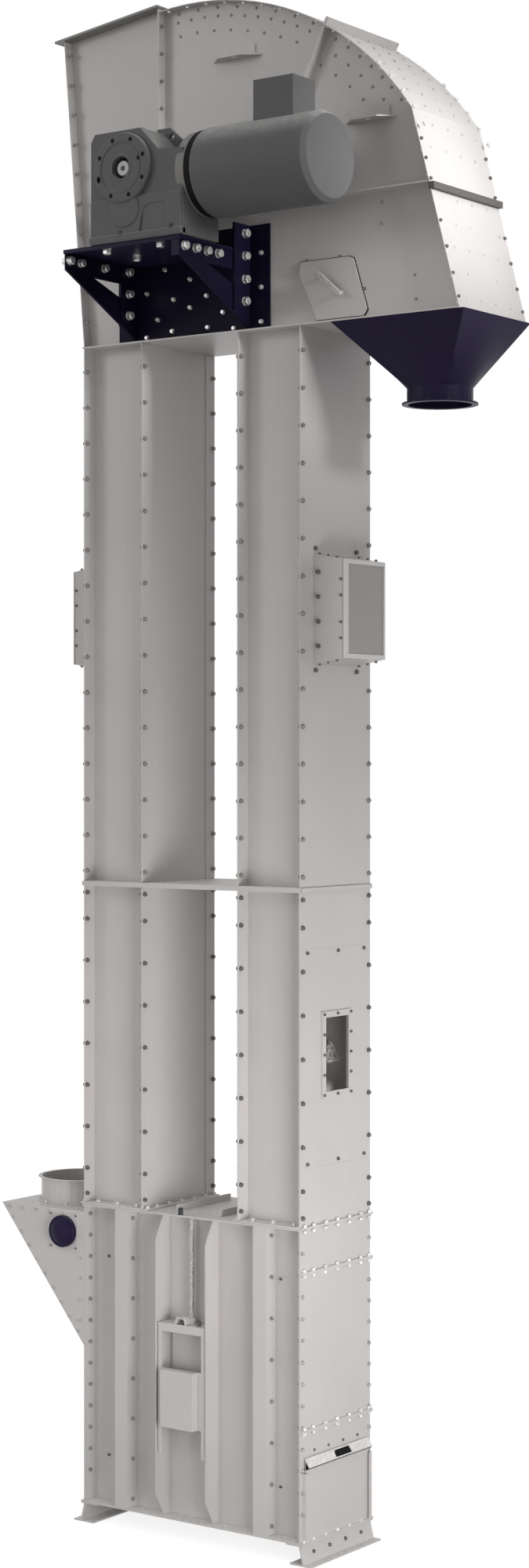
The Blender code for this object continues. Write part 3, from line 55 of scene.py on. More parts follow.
def box_of(name):
    """The low and high corner of a CAD piece, measured from the middle line."""
    low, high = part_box(name)
    return np.array(low) - MIDDLE, np.array(high) - MIDDLE


# Casing sheets: feet, boot, legs and head
# Folded steel sheet, 3 to 6 mm thick, powder coated in a warm light grey. The coat has a fine orange-peel
# skin. Its upward faces are lightened towards a dust colour, partly for dust on ledges and partly as
# painted light from above, less of it from the middle of the legs up.
class Shade:
    """A value on a surface. Sums on it add Math nodes to the tree it belongs to."""

    def __init__(self, nodes, socket):
        self.nodes = nodes
        self.socket = socket

    def sum(self, operation, *values, clamp=False):
        return self.nodes.node("Math", {"operation": operation, "use_clamp": clamp}, *values)

    def __add__(self, other):
        return self.sum("ADD", self, other)

    def __sub__(self, other):
        return self.sum("SUBTRACT", self, other)

    def __rsub__(self, other):
        return self.sum("SUBTRACT", other, self)

    def __mul__(self, other):
        return self.sum("MULTIPLY", self, other)

    __radd__ = __add__
    __rmul__ = __mul__

    def span(self, low, high):
        """0 at low, 1 at high, smooth in between."""
        settings = {"interpolation_type": "SMOOTHSTEP"}
        return self.nodes.node("MapRange", settings, self, low, high, 0.0, 1.0)


class Nodes:
    """A node tree, and the way to add to it."""

    def __init__(self, tree):
        self.tree = tree

    def node(self, kind, settings, *values, output=0, **named):
        """Adds one node: its settings first, then the values or links of its sockets."""
        node = self.tree.nodes.new("ShaderNode" + kind)
        for key, value in settings.items():
            setattr(node, key, value)
        for socket, value in list(enumerate(values)) + list(named.items()):
            socket = node.inputs[socket.replace("_", " ") if isinstance(socket, str) else socket]
            if isinstance(value, Shade):
                self.tree.links.new(value.socket, socket)
            else:
                socket.default_value = value
        return Shade(self, node.outputs[output]) if node.outputs else None

    def in_sight(self):
        """1 for the rays that reach the eye straight, in a mirror or through glass."""
        total = 0.0
        for kind in ("Camera", "Glossy", "Transmission"):
            ray = self.node("LightPath", {}, output=f"Is {kind} Ray")
            total = ray.sum("ADD", total, ray, clamp=True)
        return total


class Finish(Nodes):
    """A finish being mixed: one material, its main shader, and the nodes that feed it."""

    def __init__(self, name, colour, roughness, metallic=0.0, **fixed):
        self.material = bpy.data.materials.new(name)
        self.material.use_nodes = True
        super().__init__(self.material.node_tree)
        self.shader = self.tree.nodes["Principled BSDF"]
        self.colour = (*colour, 1.0)
        values = {"Base Color": self.colour, "Roughness": roughness, "Metallic": metallic, **fixed}
        for socket, value in values.items():
            self.shader.inputs[socket].default_value = value
        self.place = self.node("TexCoord", {}, output="Object")

    def noise(self, scale, detail=2.0, roughness=0.5, stretch=(1, 1, 1)):
        """Noise with scale features in a metre, stretched along the axes."""
        place = self.node("Mapping", {}, self.place, Scale=stretch) if stretch != (1, 1, 1) else self.place
        return self.node("TexNoise", {}, Vector=place, Scale=scale, Detail=detail, Roughness=roughness)

    def along(self, axis):
        """The place along X, Y or Z, in metres."""
        return self.node("SeparateXYZ", {}, self.place, output=axis)

    def faces(self, axis):
        """1 where the surface faces along the axis, -1 where it faces against it."""
        return self.node("SeparateXYZ", {}, self.node("NewGeometry", {}, output="Normal"), output=axis)

    def mix(self, factor, first, second):
        """Goes from the first colour to the second as factor goes from 0 to 1."""
        node = self.tree.nodes.new("ShaderNodeMix")
        node.data_type = "RGBA"
        for socket, value in ((0, factor), (6, first), (7, second)):
            if isinstance(value, Shade):
                self.tree.links.new(value.socket, node.inputs[socket])
            else:
                node.inputs[socket].default_value = value
        return Shade(self, node.outputs[2])

    def tint(self, factor):
        """The finish's own colour made lighter or darker."""
        return tuple(min(1.0, value * factor) for value in self.colour[:3]) + (1.0,)

    def feed(self, **links):
        for socket, value in links.items():
            self.tree.links.new(value.socket, self.shader.inputs[socket.replace("_", " ")])

    def bump(self, relief, depth, strength=1.0):
        """Raises the surface by relief times depth metres."""
        out = self.node("Bump", {}, Strength=strength, Distance=depth, Height=relief, output="Normal")
        self.feed(Normal=out)


# The colour of dust. Upward faces are mixed towards it, partly for real dust and partly as painted light from
# above.
DUST_AND_TOP_LIGHT = (0.86, 0.85, 0.83, 1.0)


def powder_coat(name, colour, roughness=0.42, top_light_and_dust=0.85, peel=1.0, shelf=(0.45, 0.90), gloss=0.5):
    """Powder coat: cloudy tone over half a metre, runs down the sheet, orange-peel skin 3 mm across, and
    upward faces lightened towards dust, partly for dust on ledges and partly as painted light from above."""
    coat = Finish(name, colour, roughness, **{"Specular IOR Level": gloss})
    cloud = coat.noise(2.2, 3.0).span(0.30, 0.72)
    runs = coat.noise(5.0, 3.0, stretch=(9, 9, 0.5)).span(0.42, 0.85)
    tone = coat.mix(cloud * 0.85, coat.tint(0.965), coat.tint(1.035))
    tone = coat.mix(runs * 0.16, tone, coat.tint(0.86))
    fine = coat.noise(60.0, 4.0, 0.6).span(0.35, 0.75)
    ledge = coat.faces(2).span(*shelf) * (0.4 + fine * 0.6)
    low_down = 1.0 - coat.along(2).span(2.45, 2.95) * 0.9
    tone = coat.mix(ledge * low_down * top_light_and_dust, tone, DUST_AND_TOP_LIGHT)
    coat.feed(Base_Color=tone, Roughness=roughness - 0.05 + cloud * 0.07 + ledge * 0.20)
    coat.bump(coat.noise(330.0, 1.0, 0.4), 0.00035, 0.35 * peel)
    return coat.material


def coat_nodes(material, names):
    for name in names:
        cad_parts[name].data.materials.clear()
        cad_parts[name].data.materials.append(material)


casing_paint = powder_coat("casing_paint", (0.571, 0.549, 0.539))
CASING = [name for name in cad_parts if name.split("_")[0] in
          ("boot", "left", "right", "head", "chute", "leg", "service", "inlet", "clean")]
CASING += ["take_up_frame_front", "take_up_frame_back", "inspection_frame", "inspection_door"]
coat_nodes(casing_paint, CASING)
# The roof takes a darker copy of the casing paint, for the shade on its sloping face: painted shade.
roof_shade_paint = powder_coat("roof_shade_paint", (0.265, 0.262, 0.250), roughness=0.5, top_light_and_dust=0.2)
coat_nodes(roof_shade_paint, ["head_roof"])
# Ledge pieces, the gate and the feet take the most of it on their upward faces: dust, with painted light from
# above.
dusty_lit_paint = powder_coat("dusty_lit_casing_paint", (0.571, 0.549, 0.539), top_light_and_dust=1.0, shelf=(0.20, 0.50))
LEDGES = ["boot_deck", "clean_out_gate", "boot_floor", "left_foot", "right_foot", "leg_tie_plate"]
coat_nodes(dusty_lit_paint, LEDGES)


# Casing bolts
# Zinc-plated hexagon bolts with washers, M10 and smaller, coloured darker than the paint for the shade
# that falls on them: painted shade. Rows of them clamp the flange of each pan to the side sheets, with a nut
# on the inner side.
# Each bolt is turned on from the one before by this many radians, as hand-tightened bolts are.
BOLT_TURN = 2.39996


def put(name, points, faces, material, body="casing", smooth=False, soften=0.0, levels=2):
    """A mesh from points in metres from the middle line, riding on a body. Soften rounds its edges."""
    mesh = bpy.data.meshes.new(name)
    mesh.from_pydata((np.asarray(points) + MIDDLE).tolist(), [], faces)
    mesh.materials.append(material)
    mesh.validate()
    if smooth:
        mesh.shade_smooth()
        mesh.set_sharp_from_angle(angle=math.radians(40))
    piece = bpy.data.objects.new(name, mesh)
    scene.collection.objects.link(piece)
    if soften:
        bevel = piece.modifiers.new("rounded_edges", "BEVEL")
        bevel.width = soften
        bevel.segments = levels
        bevel.limit_method = "ANGLE"
        bevel.angle_limit = math.radians(30)
        bevel.harden_normals = False
        if not smooth:
            mesh.shade_smooth()
            mesh.set_sharp_from_angle(angle=math.radians(30))
    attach(piece, body)
    return piece


def ring_faces(rings, count, close=(True, True), loop=False):
    """Quads between rings of points that follow each other, with a face over each end that is closed. In a
    loop the last ring joins the first, and both ends stay open."""
    i = np.arange(count)
    j = (i + 1) % count
    faces = []
    for r in range(rings if loop else rings - 1):
        near, far = r * count, (r + 1) % rings * count
        faces += np.stack((i + near, j + near, j + far, i + far), 1).tolist()
    if loop:
        return faces
    if close[0]:
        faces.append(i[::-1].tolist())
    if close[1]:
        faces.append((i + (rings - 1) * count).tolist())
    return faces


def copies(name, groups, rings, material, body="casing", turns=BOLT_TURN, smooth=False,
           loop=False):
    """Copies rings of points to the places of all (places, outward) groups. Each copy's own axes are
    outward and two that are square to it, and it is turned on by turns from the one before."""
    grids = [np.atleast_2d(np.asarray(places, float)) for places, _ in groups]
    out = [np.broadcast_to(np.asarray(out, float), grid.shape) for grid, (_, out) in zip(grids, groups)]
    places, out = np.concatenate(grids), np.concatenate(out)
    out = out / np.linalg.norm(out, axis=-1, keepdims=True)
    helper = np.where(np.abs(out[:, 2:]) > 0.9, (1.0, 0.0, 0.0), (0.0, 0.0, 1.0))
    side = np.cross(helper, out)
    side /= np.linalg.norm(side, axis=-1, keepdims=True)
    up = np.cross(out, side)
    turn = np.arange(len(places)) * turns
    c, s = np.cos(turn)[:, None], np.sin(turn)[:, None]
    side, up = side * c + up * s, up * c - side * s
    shape = rings.reshape(-1, 3)
    points = places[:, None] + shape[None, :, :1] * side[:, None] + shape[None, :, 1:2] * up[:, None]
    points = points + shape[None, :, 2:] * out[:, None]
    one = ring_faces(len(rings), rings.shape[1], loop=loop)
    faces = [[corner + k * len(shape) for corner in face] for k in range(len(places)) for face in one]
    return put(name, points.reshape(-1, 3), faces, material, body, smooth=smooth)


def circles(turn, profile):
    """Rings of points at the angles turn, one for each (radius, height) of a profile."""
    return np.stack([np.stack((r * np.cos(turn), r * np.sin(turn), turn * 0 + h), 1) for r, h in profile])


def head_rings(across, height, washer):
    """Rings of a hexagon head on its washer. At angle t a hexagon's edge is across / 2 / cos(t to the
    nearest flat); the top is chamfered to a circle as wide as the flats."""
    turn = np.arange(12) * math.tau / 12
    flat = across / 2 / np.cos((turn + math.pi / 6) % (math.pi / 3) - math.pi / 6)
    thick = across * 0.10 if washer else 0.0
    profile = [(across * 0.62, 0.0), (across * 0.62, thick)] if washer else []
    profile += [(flat, thick), (flat, thick + height * 0.82), (across * 0.46, thick + height)]
    return circles(turn, profile)


def hex_bolts(name, groups, across, material, body="casing", washer=True, rise=0.62):
    return copies(name, groups, head_rings(across, across * rise, washer), material, body=body)


def rows(*axes):
    """Every combination of the given coordinates."""
    return np.stack(np.meshgrid(*[np.atleast_1d(a) for a in axes], indexing="ij"), -1).reshape(-1, 3)


def weathered_zinc(name, colour, metallic, roughness):
    """Zinc plate: patches a few millimetres wide where the plating has gone matt."""
    steel = Finish(name, colour, roughness, metallic)
    patch = steel.noise(140.0, 3.0, 0.6).span(0.35, 0.70)
    tone = steel.mix(patch, steel.tint(0.75), steel.tint(1.25))
    steel.feed(Base_Color=tone, Roughness=roughness - 0.08 + patch * 0.2)
    steel.bump(steel.noise(700.0, 2.0), 0.0002, 0.3)
    return steel.material


dull_bolts = weathered_zinc("dull_bolt_steel", (0.16, 0.145, 0.135), 0.35, 0.55)
grey_bolts = weathered_zinc("grey_bolt_steel", (0.30, 0.28, 0.27), 0.25, 0.55)
# The pale bolts are light zinc, made paler still for the light that falls on the flange bolts: painted
# highlight.
pale_bolts = weathered_zinc("pale_bolt_steel", (0.80, 0.79, 0.77), 0.25, 0.50)
SHEET = 0.003
OUTER_X = 0.495
INNER_X = 0.220
CASING_Y = 0.2225
PAN_Y = 0.1625
FLANGE_Y = 0.2095
LOWER_BOLTS = np.r_[1.229, 1.324 + 0.1555 * np.arange(7), 2.356]
UPPER_BOLTS = 2.437 + 0.1333 * np.arange(15)
STRIP = 0.0023
BOTH = np.array((-1.0, 1.0))
for side, label in ((-1, "left"), (1, "right")):
    for level, heights, finish in (("lower", LOWER_BOLTS, dull_bolts), ("upper", UPPER_BOLTS, grey_bolts)):
        groups = []
        for x, out in ((OUTER_X, 1), (OUTER_X - SHEET, -1), (INNER_X - STRIP, -1), (INNER_X + SHEET, 1)):
            groups.append((rows(side * x, FLANGE_Y * BOTH, heights), (side * out, 0, 0)))
        hex_bolts(f"{label}_{level}_leg_bolts", groups, 0.014, finish)


# Boot bolts
# The boot is bolted as the legs are, with closer bolts down its corners. Its two posts carry bolts on both
# of their sides, and small screws close the ports in its front and back pans.
DECK_Z = 1.185
CORNER_BOLTS = 0.191 + 0.08 * np.arange(13)
WALL_BOLTS = 0.180 + 0.077 * np.arange(13)
POST_BOLTS = 1.152 - 0.1485 * np.arange(8)
POST_X = 0.317
POST_HALF = 0.029
groups = [
    (rows(-OUTER_X + 2 * SHEET, 0.195 * BOTH, CORNER_BOLTS), (1, 0, 0)),
    (rows(-OUTER_X, 0.195 * BOTH, CORNER_BOLTS), (-1, 0, 0)),
    (rows(OUTER_X - 2 * SHEET, 0.211 * BOTH, WALL_BOLTS), (-1, 0, 0)),
]
for post in (-POST_X, POST_X):
    for out in (-1, 1):
        groups.append((rows(post + out * POST_HALF, 0.192 * BOTH, POST_BOLTS), (out, 0, 0)))
hex_bolts("boot_corner_bolts", groups, 0.0125, grey_bolts)
wall_nuts = weathered_zinc("wall_nut_steel", (0.46, 0.44, 0.43), 0.15, 0.5)
hex_bolts("boot_wall_bolts", [(rows(OUTER_X, 0.211 * BOTH, WALL_BOLTS), (1, 0, 0))], 0.0125, wall_nuts)
groups = [(rows((-0.422, 0.369), side * PAN_Y, (0.994, 0.250)), (0, side, 0)) for side in (-1, 1)]
hex_bolts("boot_port_screws", groups, 0.009, dull_bolts)


# Flange rings and their bolts
# Flat bars welded round the foot of each leg, under the head and round the boot's end wall make the joints
# between sections. Their hexagon bolts stand head up, with nuts below.
def blocks(name, boxes, material, body="casing", soften=0.0):
    """Boxes between pairs of opposite corners."""
    unit = np.array([(x, y, z) for z in (0, 1) for x, y in ((0, 0), (1, 0), (1, 1), (0, 1))])
    points = [np.minimum(*box) + (np.maximum(*box) - np.minimum(*box)) * unit for box in boxes]
    faces = [[corner + 8 * k for corner in face] for k in range(len(boxes)) for face in ring_faces(2, 4)]
    return put(name, np.concatenate(points), faces, material, body, soften=soften)


DECK_TOP = DECK_Z + 0.006
TIE_Z = 2.390
HEAD_Z = 4.390
BAR = 0.012
LIP_X = 0.511
EDGE = 0.0003
BAR_LOW, BAR_HIGH = DECK_TOP + EDGE, DECK_TOP + BAR / 2
bars = []
for side in (-1, 1):
    for near, far in ((OUTER_X + EDGE, LIP_X), (INNER_X - 0.026, INNER_X - EDGE)):
        bars.append(((side * near, -CASING_Y, BAR_LOW), (side * far, CASING_Y, BAR_HIGH)))
    near, far = side * (INNER_X + SHEET + EDGE), side * (OUTER_X - SHEET - EDGE)
    for y in (-1, 1):
        bars.append(((near, y * (PAN_Y + EDGE), BAR_LOW), (far, y * (CASING_Y + 0.003), BAR_HIGH)))
blocks("leg_foot_bars", bars, dusty_lit_paint, soften=0.0012)
strips = []
for side in (-1, 1):
    near, far = side * (INNER_X - EDGE), side * (INNER_X - STRIP)
    for y in (-1, 1):
        for low_z, high_z in ((DECK_TOP + BAR, TIE_Z - 0.0105), (TIE_Z + 0.0105, HEAD_Z - 0.002)):
            strips.append(((near, y * (CASING_Y + 0.0002), low_z), (far, y * (PAN_Y + 0.004), high_z)))
blocks("leg_edge_strips", strips, casing_paint, soften=0.0008)
RIM_NEAR, RIM_FAR = OUTER_X + 0.0045, OUTER_X + 0.011
rims = [((side * RIM_NEAR, -CASING_Y, TIE_Z - 0.008), (side * RIM_FAR, CASING_Y, TIE_Z + 0.008))
        for side in (-1, 1)]
blocks("tie_plate_rims", rims, dusty_lit_paint, soften=0.003)
ROW = 0.075 * np.arange(-2, 3)
LONG_ROW = np.r_[-0.205, ROW, 0.205]
ACROSS = 0.0915 * np.arange(-1, 2)
WALL_LIP_X = 0.5015
UP, DOWN = (0, 0, 1), (0, 0, -1)
groups = []
for side in (-1, 1):
    groups.append((rows(side * 0.5035, LONG_ROW, BAR_HIGH), UP))
    groups.append((rows(side * 0.206, LONG_ROW, BAR_HIGH), UP))
    groups.append((rows(side * 0.3575 + ACROSS, 0.193 * BOTH, BAR_HIGH), UP))
for z in (1.032, 0.474):
    groups.append((rows(WALL_LIP_X, LONG_ROW, z + BAR / 2), UP))
    groups.append((rows(WALL_LIP_X, LONG_ROW, z - BAR / 2), DOWN))
groups.append((rows(WALL_LIP_X * BOTH, LONG_ROW, 0.081), UP))
hex_bolts("flange_bolts", groups, 0.0125, pale_bolts)
hex_bolts("flange_nuts", [(rows(0.5035 * BOTH, LONG_ROW, DECK_Z), DOWN)], 0.0125, pale_bolts)


# Screw end, lug and stop on the take-up
# Each take-up hangs on a trapezoidal screw. A folded lug with its bolt sits on the shelf, a second bolt
# stops the frame, and the black cap of the screw stands on the deck.
TAKE_UP_X = -0.024
SHELF_Z = 0.7935
# Black steel for the screw caps and some bolts; the same black also stands for the shade in the head shaft's
# centre hole.
black_and_shade = weathered_zinc("black_steel_and_shade", (0.018, 0.018, 0.019), 0.3, 0.5)


def extruded(outline, axis, near, far):
    """Points and faces of a flat outline, pulled along an axis. The outline's two coordinates are the
    other two axes in order."""
    outline = np.asarray(outline, float)
    ends = [np.insert(outline, "xyz".index(axis), level, axis=1) for level in sorted((near, far))]
    points = np.concatenate(ends)
    area = np.roll(outline[:, 0], -1) * outline[:, 1] - np.roll(outline[:, 1], -1) * outline[:, 0]
    flip = (area.sum() > 0) == (axis != "y")
    faces = ring_faces(2, len(outline))
    return points, [face[::-1] for face in faces] if flip else faces


lug = np.array(((-0.029, 0.0), (-0.020, 0.026), (0.016, 0.026), (0.025, 0.0), (0.019, 0.0), (0.012, 0.021),
                (-0.016, 0.021), (-0.023, 0.0))) + (TAKE_UP_X - 0.005, SHELF_Z)
for side, place in ((-1, "front"), (1, "back")):
    y = side * 0.2115
    points, faces = extruded(lug, "y", y - side * 0.012, y + side * 0.024)
    put(f"take_up_lug_{place}", points, faces, casing_paint, "take_up", soften=0.001)
    stops = np.array(((TAKE_UP_X - 0.008, y + side * 0.004, SHELF_Z), (0.032, side * 0.205, SHELF_Z)))
    hex_bolts(f"take_up_bolts_{place}", [(stops, (0, 0, 1))], 0.014, dull_bolts, body="take_up", rise=0.9)
    cap = [((-0.045, side * 0.2135, DECK_TOP), UP)]
    hex_bolts(f"screw_cap_{place}", cap, 0.017, black_and_shade, washer=False, rise=1.5)


# Take-up screws
# A trapezoidal thread cut on a bright round bar: the radius follows a flattened wave along the bar that
# goes round once a turn, so the crest winds up it.
PITCH = 0.004
THREAD_DEPTH = 0.0012
THREAD_SIDES = 16
bright_zinc = weathered_zinc("bright_zinc", (0.50, 0.49, 0.48), 0.5, 0.50)
for place in ("front", "back"):
    low, high = box_of(f"take_up_screw_{place}")
    x, y = (low[:2] + high[:2]) / 2
    steps = int((high[2] - low[2]) / PITCH * 8)
    z = np.linspace(low[2], high[2], steps + 1)[:, None]
    turn = np.arange(THREAD_SIDES)[None] * math.tau / THREAD_SIDES
    wave = np.clip(1.6 * np.sin(math.tau * z / PITCH - turn), -1, 1)
    r = (high[0] - low[0]) / 2 - THREAD_DEPTH / 2 + wave * THREAD_DEPTH / 2
    points = np.stack((x + r * np.cos(turn), y + r * np.sin(turn), np.broadcast_to(z, r.shape)), -1)
    points, faces = points.reshape(-1, 3), ring_faces(steps + 1, THREAD_SIDES)
    screw = put(f"take_up_thread_{place}", points, faces, bright_zinc, smooth=True)
    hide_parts(f"take_up_screw_{place}")


# Bearing covers
# Pressed boxes of thin sheet over the shaft ends, with corners rounded by the press. Each is an outer and
# an inner shell of five faces, joined by the rim at its open side.
for side, place in ((-1, "front"), (1, "back")):
    low, high = box_of(f"bearing_cover_{place}")
    open_y, far_y = (high[1], low[1]) if side < 0 else (low[1], high[1])
    inset = np.array((SHEET, 0.0, SHEET))
    corners = np.array(((0, 0), (1, 0), (1, 1), (0, 1)))
    rings = []
    outer, inner = (low, high), (low + inset, high - inset)
    for (a, b), y in ((outer, open_y), (outer, far_y), (inner, far_y - side * SHEET), (inner, open_y)):
        square = a[::2] + corners * (b - a)[::2]
        rings.append(np.insert(square, 1, y, axis=1))
    faces = ring_faces(2, 4, (False, True))
    faces += [[corner + 8 for corner in face] for face in ring_faces(2, 4, (True, False))]
    faces += [[i, i + 12, (i + 1) % 4 + 12, (i + 1) % 4] for i in range(4)]
    if side > 0:
        faces = [face[::-1] for face in faces]
    cover = put(f"bearing_case_{place}", np.concatenate(rings), faces, casing_paint,
                "take_up", soften=0.004, levels=3)
    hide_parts(f"bearing_cover_{place}")


# Clean-out gate
# A folded sheet that lifts between two keepers. Its lip has a hand slot with a black rubber grip behind it,
# and four bolts hold the seal above.
# Black rubber for the grip and the hatch seal. The same black also stands for the shade in the gate's slot,
# the gear's holes and the motor's gap: painted shade.
black_rubber_and_shade = Finish("black_rubber_and_shade", (0.006, 0.006, 0.006), 0.7, **{"Specular IOR Level": 0.1})
black_rubber_and_shade.bump(black_rubber_and_shade.noise(420.0, 3.0), 0.0004, 0.5)
black_rubber_and_shade.feed(Roughness=0.55 + black_rubber_and_shade.noise(40.0, 3.0) * 0.3)
low, high = box_of("clean_out_gate")
top = high[2]
grip = [(low[0] + 0.0035, top - 0.012), (high[0] - 0.0035, top - 0.035), (low[0] + 0.0035, top - 0.040)]
points, faces = extruded(grip, "y", low[1] - 0.0008, high[1] + 0.0008)
put("gate_grip", points, faces, black_rubber_and_shade.material, "gate")
# A thin black sheet over the hand slot stands for the shade inside it: painted shadow.
pad = np.array(((0.0041, -0.0044), (0.0181, -0.0254), (0.0146, -0.0277), (0.0006, -0.0067))) + (low[0], top)
points, faces = extruded(pad, "y", -0.022, 0.068)
put("gate_slot_shadow", points, faces, black_rubber_and_shade.material, "gate")
seal_row = rows(OUTER_X, (-0.135, -0.046, 0.047, 0.138), 0.396)
hex_bolts("gate_seal_bolts", [(seal_row, (1, 0, 0))], 0.010, dull_bolts, washer=False, rise=0.36)


# Foot bolts
# Zinc-plated bolts through the web of each foot, four a side.
groups = [(rows(side * 0.4985, (-0.150, -0.050, 0.050, 0.150), 0.040), (side, 0, 0)) for side in (-1, 1)]
hex_bolts("foot_bolts", groups, 0.013, dull_bolts)


# Inlet hopper and spout
# A three-sided hopper with a round spout on its lid. Bolts run down the slope and along the lid, and the
# spout ends in a turned-out rim.
HOPPER_TOP = 1.160
HOPPER_TIP = -0.9003
slope = np.linspace(0.08, 0.94, 9)[:, None]
slope_top, slope_foot = (HOPPER_TIP + 0.030, HOPPER_TOP - 0.016), (-0.500, HOPPER_TOP - 0.50 + 0.024)
slope_line = (1 - slope) * slope_top + slope * slope_foot
groups = []
for side in (-1, 1):
    face_y = side * CASING_Y
    groups.append((np.insert(slope_line, 1, face_y, axis=1), (0, side, 0)))
    groups.append((rows(np.linspace(-0.862, -0.530, 6), face_y, HOPPER_TOP - 0.014), (0, side, 0)))
    groups.append((rows(-0.512, face_y, HOPPER_TOP - np.array((0.175, 0.25, 0.33, 0.41))), (0, side, 0)))
hex_bolts("hopper_bolts", groups, 0.009, wall_nuts)
turn = np.arange(10) * math.tau / 10
spout = circles(turn, [(0.159, HOPPER_TOP + 0.0035)])[0] - (0.692, 0, 0)
hex_bolts("spout_bolts", [(spout, UP)], 0.009, pale_bolts)


# Level sensor
# A domed plastic cap in navy on a square painted plate, held by four screws. The cap is turned, and its
# crown is part of a large circle.
def lathe(name, centre, outward, profile, material, count=32, body="casing", smooth=True, loop=False):
    """Turns a profile of (radius, distance outward) pairs round its own axis. A profile that is a loop makes
    a ring, and goes up its inner side first."""
    turn = np.arange(count) * math.tau / count
    rings = circles(turn, profile)
    return copies(name, [(centre, outward)], rings, material, body, smooth=smooth, loop=loop)


def arc(centre, radius, start, end, count):
    """Points round part of a circle, by angle in degrees."""
    t = np.radians(np.linspace(start, end, count))
    return np.stack((centre[0] + radius * np.cos(t), centre[1] + radius * np.sin(t)), 1)


navy_paint = powder_coat("navy_paint", (0.016, 0.011, 0.038), top_light_and_dust=0.04, peel=0.7, gloss=0.08)
low, high = box_of("level_sensor")
plate_y = -CASING_Y - EDGE
middle = (low + high) / 2
front_y = plate_y - SHEET
sheet = [(low * (1, 0, 1) + (0, plate_y, 0), high * (1, 0, 1) + (0, front_y, 0))]
plate = blocks("sensor_plate", sheet, casing_paint, soften=0.001)
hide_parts("level_sensor")
dome = np.concatenate(([(0.020, 0.0), (0.0585, 0.0), (0.0585, 0.006), (0.060, 0.006), (0.060, 0.016)],
                       arc((0.053, 0.016), 0.007, 0, 60, 4), arc((0.0, -0.051), 0.088, 54, 86, 6)))
middle = middle * (1, 0, 1) + (0, front_y, 0)
cap = lathe("sensor_cap", middle + (0.003, 0, 0), (0, -1, 0), dome, navy_paint)
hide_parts("level_sensor")
corners = rows(middle[0] + 0.061 * BOTH, front_y, middle[2] + 0.061 * BOTH)
hex_bolts("sensor_screws", [(corners, (0, -1, 0))], 0.007, dull_bolts)


# Service panel and window
# The panel over the right leg's opening has bolts at its corners and edges. Its window is tinted glass in a
# flat bolted frame, with a bucket and grain behind it.
corners = rows(OUTER_X, (-0.179, 0.013, 0.179), (2.166, 1.416))
hex_bolts("panel_bolts", [(corners, (1, 0, 0))], 0.011, dull_bolts)
low, high = box_of("inspection_frame")
middle = (low + high) / 2
half_y = (high[1] - low[1]) / 2 - 0.010
half_z = (high[2] - low[2]) / 2 - 0.010
sides = rows(high[0], half_y * BOTH, middle[2] + half_z * np.linspace(-1, 1, 5))
ends = rows(high[0], 0.0, middle[2] + half_z * BOTH)
hex_bolts("window_bolts", [(np.concatenate((sides, ends)), (1, 0, 0))], 0.009, dull_bolts)
window_glass = Finish("window_glass", (0.115, 0.095, 0.088), 0.12, Alpha=0.15)
smear = window_glass.noise(18.0, 4.0, 0.6, stretch=(1, 1, 0.3)).span(0.45, 0.8)
low_down = 1.0 - window_glass.along(2).span(1.670, 1.715)
corner = low_down * (1.0 - (window_glass.along(1) - MIDDLE[1]).span(-0.060, -0.010))
window_glass.feed(Base_Color=window_glass.mix(corner, window_glass.tint(1.0), (0.40, 0.40, 0.39, 1.0)),
                  Roughness=0.10 + smear * 0.15, Alpha=0.15 + smear * 0.04 + corner * 0.5)
coat_nodes(window_glass.material, ["inspection_glass"])

# Maize that has stopped on the back of a bucket behind the glass: kernels scattered over a cone, whose
# height above the bucket falls evenly from its middle to its rim.
scatter = np.random.default_rng(7)
KERNELS = 340
share, round_it = np.sqrt(scatter.random(KERNELS)), scatter.random(KERNELS) * math.tau
heap = np.array((0.384, 0.126, 1.750))
cone = np.stack((share * np.cos(round_it), share * np.sin(round_it), 1 - share), 1)
places = heap + cone * (0.024, 0.052, 0.074)
aims = scatter.normal(size=(KERNELS, 3)) + (0.6, 0.0, 0.6)
kernel = [(0.0006, -0.0042), (0.0030, -0.0028), (0.0040, 0.0), (0.0034, 0.0026), (0.0008, 0.0044)]
grain = Finish("maize", (0.62, 0.60, 0.58), 0.5)
tone = grain.mix(grain.noise(110.0, 2.0).span(0.35, 0.65), (0.50, 0.48, 0.47, 1.0), (0.95, 0.95, 0.96, 1.0))
grain.feed(Base_Color=tone)
lathe("grain_heap", places, aims, kernel, grain.material, count=7)


# Vents
# Relief vents high on both legs: a bolted duct of sheet that tapers in height, a thin bursting panel over
# its end, and a flat frame that holds the panel, painted pale for the light that falls on it: painted
# highlight.
vent_paint = powder_coat("vent_panel_paint", (0.400, 0.388, 0.380), roughness=0.55, top_light_and_dust=0.1, peel=1.4)
coat_nodes(vent_paint, ["left_vent_panel", "right_vent_panel"])
vent_frame = powder_coat("vent_frame_lit_paint", (0.760, 0.750, 0.740), top_light_and_dust=1.0)
DUCT_NEAR, DUCT_FAR = OUTER_X + EDGE, 0.6133
ROOT_Y, ROOT_LOW, ROOT_HIGH = 0.1365, 3.192, 3.587
TIP_Y, TIP_LOW, TIP_HIGH = 0.1317, 3.213, 3.5645
OPEN_LEFT, OPEN_RIGHT, OPEN_LOW, OPEN_HIGH = -0.1035, 0.1235, 3.2295, 3.5490
PANEL = 0.004
duct_bolts = np.array((0.512, 0.549, 0.586))
groups, rim_groups = [], []
